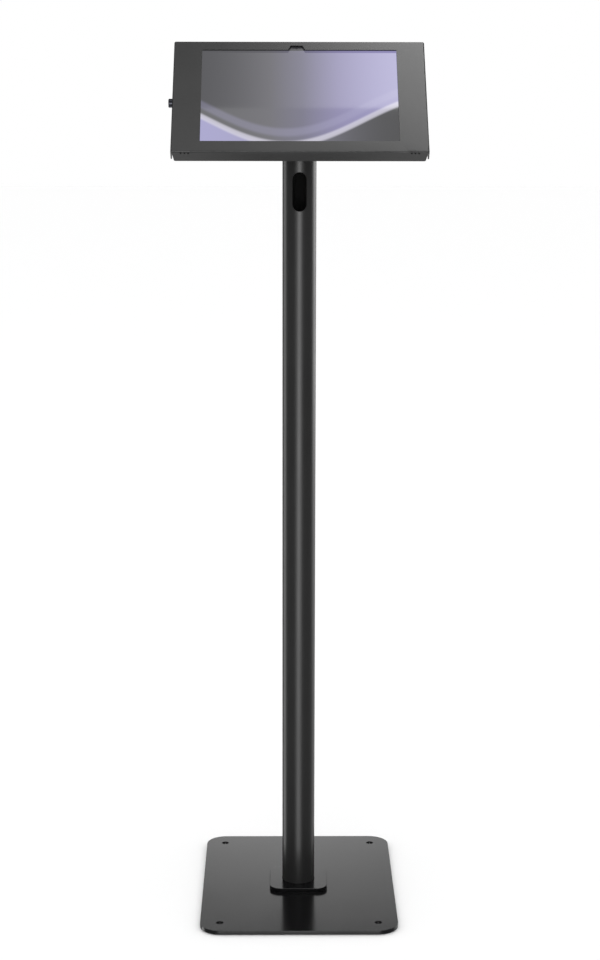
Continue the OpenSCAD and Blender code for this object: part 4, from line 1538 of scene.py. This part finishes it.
@dataclass
class FrontCover(FoldedSheet):
    """The hinged cover with its window, sound holes, knuckles, gasket and lock."""

    width: float = 310.0
    height: float = 183.0
    web_n: float = 18.0
    tip_n: float = 1.4
    slack: float = 0.1
    side_corner: float = 3.0
    end_corner: float = 2.0
    taper: float = 2.1
    # each point of the small round nib at a corner: in from the side, and up
    nib: tuple[tuple[float, float], ...] = ((1.1, 0.0), (1.2, 0.45), (1.4, 0.8))
    nib_h: float = 1.1
    window: tuple[float, float] = (240.0, 151.0)
    window_up: float = 1.2
    notch_x: float = -3.4
    notch_wide: float = 21.0
    notch_narrow: float = 14.5
    notch_tall: float = 7.3
    sound_hole: float = 2.3
    sound_pitch: float = 4.5
    sound_inset: float = 17.0
    sound_drop: float = 2.9
    hinge_x: float = 153.0
    hinge_n: float = -1.5
    knuckle: float = 4.0
    knuckle_bore: float = 2.1
    knuckle_l: float = 22.0
    knuckle_v: float = 22.4
    strap_in: float = 0.9
    strap_lap: float = 0.6
    foam_t: float = 0.9
    foam_band: float = 6.5
    foam_gap: float = 0.5
    lock: CamLock = CamLock()

    def window_loop(self) -> Loop:
        """The window with the camera's notch in its top edge.

        Returns:
            The loop.
        """
        w, h = self.window[0] / 2, self.window[1] / 2
        low, top = self.window_up - h, self.window_up + h
        x, wide, narrow = self.notch_x, self.notch_wide / 2, self.notch_narrow / 2
        peak = top + self.notch_tall
        return [
            (-w, low), (w, low), (w, top), (x + wide, top), (x + narrow, peak),
            (x - narrow, peak), (x - wide, top), (-w, top),
        ]

    def foam_loop(self) -> Loop:
        """The foam frame's outline, open at the camera's notch.

        Returns:
            The loop, which goes round the window and back round the frame's outside.
        """
        w, h = self.window[0] / 2, self.window[1] / 2
        low, top = self.window_up - h, self.window_up + h
        x, band, gap = self.notch_x, self.foam_band, self.foam_gap
        wide = self.notch_wide / 2 + gap
        # the notch's sides slope, so the frame's two ends slope with them
        narrow = wide + (self.notch_narrow - self.notch_wide) / 2 * band / self.notch_tall
        return [
            (x + narrow, top + band), (x + wide, top + gap), (w + gap, top + gap),
            (w + gap, low - gap), (-w - gap, low - gap), (-w - gap, top + gap),
            (x - wide, top + gap), (x - narrow, top + band), (-w - band, top + band),
            (-w - band, low - band), (w + band, low - band), (w + band, top + band),
        ]

    def outline(self) -> Loop:
        """The blank: four flaps with tapered long ones and small round nibs between.

        Returns:
            The loop.
        """
        side = self.width / 2
        tip_a = self.flat_at(side, self.tip_n)
        tip_b = self.flat_at(self.height / 2, self.tip_n)
        end = self.height / 2 - self.sheet - self.slack
        lip = side - self.sheet - self.slack
        bend_b = self.height / 2 - self.radius + self.bend
        a, b = self.side_corner, self.end_corner
        return mirrored([
            *arc((tip_a - a, end - a), a, 0, 90, 6),
            *[(side - inward, end + up) for inward, up in self.nib],
            (lip, end + self.nib_h), (lip, bend_b),
            *arc((lip - self.taper - b, tip_b - b), b, 0, 90, 4),
        ])

    def build(self) -> None:
        """Builds and dresses the cover and what is fixed to it."""
        lock_a = self.flat_at(self.width / 2, self.lock.n)
        sound_b = self.flat_at(self.height / 2, self.web_n - self.sound_drop)
        sound_x = self.width / 2 - self.sound_inset
        holes = [self.window_loop(), round_hole(-lock_a, self.lock.v, self.lock.hole)]
        holes += [
            round_hole(side * sound_x + i * self.sound_pitch, -sound_b, self.sound_hole, 20)
            for side in (-1, 1) for i in (-1, 0, 1)
        ]
        made = Smith.object("folded_cover", self.formed(self.outline(), holes), Place.HEAD)
        Smith.edged(made, wall=self.sheet, edge=0.16)
        Smith.settled(made, SATIN_COAT, Body.COVER, "satin_coat", "front_cover")
        self.knuckles()
        self.gasket()
        self.lock.build(-self.width / 2)

    def knuckles(self) -> None:
        """Adds the two hinge knuckles that belong to the cover, each with its strap."""
        side, half = self.width / 2, self.knuckle_l / 2
        mesh = bmesh.new()
        for v in (-self.knuckle_v, self.knuckle_v):
            pipe(mesh, (self.hinge_x, v, self.hinge_n), self.knuckle, self.knuckle_bore,
                 self.knuckle_l)
            box_mesh(mesh, (side - self.sheet, v - half, self.hinge_n + self.strap_in),
                     (side, v + half, self.tip_n + self.strap_lap))
        made = Smith.object("cover_knuckles", mesh, Place.HEAD)
        Smith.edged(made)
        Smith.settled(made, SATIN_COAT, Body.COVER, "satin_coat")

    def gasket(self) -> None:
        """Builds the foam frame behind the window."""
        mesh = blank(self.foam_loop())
        mesh.transform(Matrix.Translation((0, 0, self.web_n - self.sheet)))
        made = Smith.object("window_foam", mesh, Place.HEAD)
        Smith.edged(made, wall=self.foam_t, edge=0.3, segments=3)
        Smith.settled(made, BLACK_FOAM, Body.COVER, "foam", "window_gasket")


@dataclass
class Padding:
    """The foam pads, spacers and strips that hold the tablet in the tray."""

    inset: float = 0.12
    crown: float = 0.3
    most_share: float = 0.3
    steepness: int = 6
    cuts: int = 9
    pieces: dict[str, str] = field(
        default_factory=lambda: {
            "back_pads": "foam_pads",
            "left_spacers": "foam_spacers_left",
            "right_spacers": "foam_spacers_right",
            "edge_strips": "foam_strips",
        }
    )

    def blocks(self, node: str) -> list[tuple[Vector, Vector]]:
        """Finds the separate blocks of a CAD node.

        Args:
            node: The CAD node.

        Returns:
            Each block's low and high corners, in the head's axes.
        """
        mesh = bmesh.new()
        mesh.from_mesh(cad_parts[node].data)
        bmesh.ops.remove_doubles(mesh, verts=mesh.verts, dist=2e-6)
        mesh.transform(Matrix.Scale(1 / MM, 4))
        mesh.transform(Place.HEAD.value.inverted())
        found, done = [], set()
        for vert in mesh.verts:
            if vert in done:
                continue
            island, edge = set(), {vert}
            while edge:
                island |= edge
                edge = {e.other_vert(v) for v in edge for e in v.link_edges} - island
            done |= island
            corners = [v.co for v in island]
            found.append((Vector([min(c[i] for c in corners) for i in range(3)]),
                          Vector([max(c[i] for c in corners) for i in range(3)])))
        mesh.free()
        return found

    def block(self, mesh: bmesh.types.BMesh, low: Vector, high: Vector) -> None:
        """Adds one foam block whose faces sink a little towards the edges.

        Args:
            mesh: The mesh that takes it.
            low: The block's low corner.
            high: The block's high corner.
        """
        part = bmesh.new()
        inner_low, inner_high = low + Vector([self.inset] * 3), high - Vector([self.inset] * 3)
        box_mesh(part, tuple(inner_low), tuple(inner_high))
        bmesh.ops.subdivide_edges(part, edges=part.edges, cuts=self.cuts, use_grid_fill=True)
        middle, half = (inner_low + inner_high) / 2, (inner_high - inner_low) / 2
        # the points of a face sink more the nearer they are to its edges
        for vert in part.verts:
            share = [(vert.co[i] - middle[i]) / half[i] for i in range(3)]
            for i in range(3):
                others = [abs(share[j]) for j in range(3) if j != i]
                if abs(abs(share[i]) - 1) < 1e-4 and max(others) <= 1:
                    fall = max(others) ** self.steepness
                    pull = min(self.crown, half[i] * self.most_share) * fall
                    vert.co[i] -= math.copysign(pull, share[i])
        join(mesh, part)

    def build(self) -> None:
        """Builds and dresses the foam pieces."""
        for node, name in self.pieces.items():
            mesh = bmesh.new()
            for low, high in self.blocks(node):
                self.block(mesh, low, high)
            made = Smith.object(name, mesh, Place.HEAD)
            Smith.edged(made, sharp=50)
            Smith.settled(made, BLACK_FOAM, Body.STAND, "foam", node)


@dataclass
class Tablet:
    """The tablet: shell, screen, keys and what is inside."""

    width: float = 255.5
    height: float = 166.5
    corner: float = 6.75
    top: float = 15.3
    glass: float = 0.8
    up: float = 1.2

    def build(self) -> None:
        """Builds the screen, rounds the shell and keys, and dresses the inner parts."""
        mesh = blank(round_rect(self.width, self.height, self.corner, self.up))
        mesh.transform(Matrix.Translation((0, 0, self.top)))
        made = Smith.object("screen", mesh, Place.HEAD)
        Smith.edged(made, wall=self.glass, edge=0.25, segments=3)
        Smith.settled(made, SCREEN, Body.STAND, "screen_glass", "tablet_glass")
        Smith.refined("tablet_shell", "aluminium_shell", DARK_ALUMINIUM, Body.STAND,
                      "tablet_aluminium", 0.35, 3)
        Smith.refined("power_key", "power_bar", DARK_ALUMINIUM, Body.POWER,
                      "tablet_aluminium", 0.25, 3)
        Smith.refined("volume_key", "volume_bar", DARK_ALUMINIUM, Body.VOLUME,
                      "tablet_aluminium", 0.25, 3)
        for node, finish in (
            ("display_panel", PANEL_FILM), ("mid_plate", ZINC_STEEL), ("battery_cells", CELL_FILM),
            ("logic_board", SOLDER_MASK), ("speaker_boxes", BLACK_PLASTIC),
            ("front_camera", BLACK_PLASTIC), ("charge_port", ZINC_STEEL),
        ):
            Smith.dressed(node, finish)


# ---- Studio ----


@dataclass(frozen=True)
class Panel:
    """A bright patch of the studio's walls, which only the gloss on the object sees.

    Angles are in degrees: round from the eye's side, plus to the right, and above the horizon.
    The light rises between the first two stops of each and falls between the last two.
    """

    turn: tuple[float, float, float, float]
    height: tuple[float, float, float, float]
    light: float
    both_sides: bool = False


ALL_ROUND = (-2.0, -1.0, 181.0, 182.0)
PANELS = (
    # tall box behind the eye, for the line of light down the tube
    Panel((-26.0, -2.0, 3.0, 26.0), (-23.5, -20.5, 4.0, 14.0), 4.4),
    # strips behind on the right, strong above and dim below, for the tube's right edge
    Panel((100.0, 112.0, 140.0, 152.0), (-12.0, -7.5, 0.0, 4.0), 3.0),
    Panel((100.0, 112.0, 150.0, 165.0), (-60.0, -40.0, -12.0, -7.5), 0.5),
    # strip behind on the left, for the tube's left edge
    Panel((-133.0, -124.0, -108.0, -98.0), (-60.0, -40.0, 0.0, 4.0), 1.7),
    # back wall, bright up to a little above the horizon, for the base
    Panel((166.0, 181.0, 183.0, 190.0), (-60.0, -40.0, 20.0, 24.6), 1.75, both_sides=True),
    # the floor itself, for faces that look down
    Panel(ALL_ROUND, (-92.0, -91.0, -70.0, -48.0), 1.0, both_sides=True),
    # pale ceiling, which the head's face mirrors
    Panel(ALL_ROUND, (55.0, 68.0, 91.0, 92.0), 1.1, both_sides=True),
)


@dataclass
class Studio:
    """Pale floor, soft lights and the camera.

    The camera's and lamp's places are in metres; turned is the camera's turn in degrees.
    """

    eye: Point = (-0.02206, -2.58068, 1.08791)
    turned: Point = (78.188, -0.101, -0.499)
    lens: float = 77.8
    sensor: float = 36.0
    floor_half: float = 14000.0
    dome: float = 1.12
    dim: float = 0.2
    card_x: tuple[float, float] = (-250.0, 520.0)
    card_y: tuple[float, float] = (-52.0, 1100.0)
    card_z: float = 2000.0
    card_fade: tuple[float, float] = (-200.0, 420.0)
    card_light: float = 7.5
    lamp_place: Point = (-0.2, -3.0, 2.6)
    lamp_aim: Point = (0.0, 0.0, 0.3)
    lamp_size: tuple[float, float] = (2.2, 1.6)
    lamp_watts: float = 6.0

    def camera(self) -> None:
        """Sets the camera level with the head, looking a little down."""
        data = bpy.data.cameras.new("camera")
        data.lens, data.sensor_width, data.sensor_fit = self.lens, self.sensor, "AUTO"
        data.clip_start, data.clip_end = 0.05, 50.0
        made = bpy.data.objects.new("camera", data)
        made.location = self.eye
        made.rotation_euler = [math.radians(angle) for angle in self.turned]
        bpy.context.scene.collection.objects.link(made)
        bpy.context.scene.camera = made

    def floor(self) -> None:
        """Lays the pale floor, which the gloss on the object doesn't mirror."""
        mesh = bmesh.new()
        bmesh.ops.create_grid(mesh, x_segments=1, y_segments=1, size=self.floor_half)
        made = Smith.object("studio_floor", mesh, Place.FLOOR)
        made.data.materials.append(BACKGROUND_PAPER.material())
        made.visible_glossy = False

    def lamp(self) -> None:
        """Adds the softbox in front, above the eye."""
        data = bpy.data.lights.new("front_box", "AREA")
        data.shape, data.energy = "RECTANGLE", self.lamp_watts
        data.size, data.size_y = self.lamp_size
        made = bpy.data.objects.new("front_box", data)
        made.location = self.lamp_place
        beam = Vector(self.lamp_aim) - Vector(self.lamp_place)
        made.rotation_euler = beam.to_track_quat("-Z", "Y").to_euler()
        made.visible_camera = False
        bpy.context.scene.collection.objects.link(made)

    def card(self) -> None:
        """Hangs the soft card that the head's face and glass mirror, fading to the left."""
        (low_x, high_x), (low_y, high_y) = self.card_x, self.card_y
        mesh = bmesh.new()
        corners = ((low_x, low_y), (low_x, high_y), (high_x, high_y), (high_x, low_y))
        mesh.faces.new([mesh.verts.new((x, y, self.card_z)) for x, y in corners])
        made = Smith.object("overhead_card", mesh, Place.FLOOR)
        glow = bpy.data.materials.new("card_light")
        glow.use_nodes = True
        tree = glow.node_tree
        tree.nodes.clear()
        coords = add_node(tree, "ShaderNodeTexCoord").outputs["Object"]
        axes = add_node(tree, "ShaderNodeSeparateXYZ", links={0: coords})
        fade = add_node(
            tree,
            "ShaderNodeMapRange",
            {"From Min": self.card_fade[0] * MM, "From Max": self.card_fade[1] * MM,
             "To Max": self.card_light},
            {"Value": axes.outputs[0]},
            interpolation_type="SMOOTHSTEP",
        )
        light = add_node(tree, "ShaderNodeEmission", links={"Strength": fade.outputs[0]})
        add_node(tree, "ShaderNodeOutputMaterial", links={"Surface": light.outputs[0]})
        made.data.materials.append(glow)
        made.visible_camera = made.visible_diffuse = made.visible_shadow = False

    def walls(self, tree: bpy.types.NodeTree) -> bpy.types.NodeSocket:
        """Adds up the panels' light over a dim room, by direction.

        Args:
            tree: The world's tree.

        Returns:
            The light's strength.
        """
        coords = add_node(tree, "ShaderNodeTexCoord").outputs["Generated"]
        axes = add_node(tree, "ShaderNodeSeparateXYZ", links={0: coords})
        maths = partial(arithmetic, tree)

        def window(value: bpy.types.NodeSocket, stops: Sequence[float]) -> bpy.types.NodeSocket:
            """1 between the two middle stops, falling to 0 at the outer ones."""
            sides = [
                add_node(
                    tree, "ShaderNodeMapRange", {"From Min": a, "From Max": b}, {"Value": value},
                    interpolation_type="SMOOTHSTEP",
                ).outputs[0]
                for a, b in ((stops[0], stops[1]), (stops[3], stops[2]))
            ]
            return maths("MULTIPLY", *sides)

        back = maths("MULTIPLY", axes.outputs[1], -1.0)
        azimuth = maths("MULTIPLY", maths("ARCTAN2", axes.outputs[0], back), 180 / math.pi)
        height = maths("MULTIPLY", maths("ARCSINE", axes.outputs[2]), 180 / math.pi)
        around = maths("ABSOLUTE", azimuth)
        total = self.dim
        for panel in PANELS:
            level = window(around if panel.both_sides else azimuth, panel.turn)
            patch = maths("MULTIPLY", level, window(height, panel.height))
            total = maths("ADD", total, maths("MULTIPLY", patch, panel.light))
        return total

    def surroundings(self) -> None:
        """White to the eye; soft bright panels in a dim room for everything else."""
        world = bpy.data.worlds.new("studio")
        bpy.context.scene.world = world
        world.use_nodes = True
        tree = world.node_tree
        tree.nodes.clear()
        path = add_node(tree, "ShaderNodeLightPath")
        # only gloss sees the panels; matt surfaces see an even dome
        strength = add_node(
            tree,
            "ShaderNodeMix",
            {2: self.dome},
            {0: path.outputs["Is Glossy Ray"], 3: self.walls(tree)},
            data_type="FLOAT",
        ).outputs[0]
        seen = add_node(tree, "ShaderNodeBackground", {"Color": (1, 1, 1, 1), "Strength": 1.0})
        room = add_node(
            tree, "ShaderNodeBackground", {"Color": (1, 1, 1, 1)}, {"Strength": strength}
        )
        mix = add_node(
            tree,
            "ShaderNodeMixShader",
            links={0: path.outputs["Is Camera Ray"], 1: room.outputs[0], 2: seen.outputs[0]},
        )
        add_node(tree, "ShaderNodeOutputWorld", links={"Surface": mix.outputs[0]})
        world.cycles.sampling_method = "NONE"

    def build(self) -> None:
        """Sets up the camera, floor, lights and tone."""
        self.camera()
        self.floor()
        self.surroundings()
        self.card()
        self.lamp()
        view = bpy.context.scene.view_settings
        view.view_transform, view.look = "Standard", "None"


def main() -> None:
    """Builds the studio and every sub-assembly in order, and logs each one's name."""
    logging.basicConfig(level=logging.INFO, format="%(message)s")
    for part in (
        Studio(), FloorBase(), Column(), BackTray(), FrontCover(), Padding(), Tablet()
    ):
        LOG.info("building %s", type(part).__name__)
        part.build()


if __name__ == "__main__":
    main()
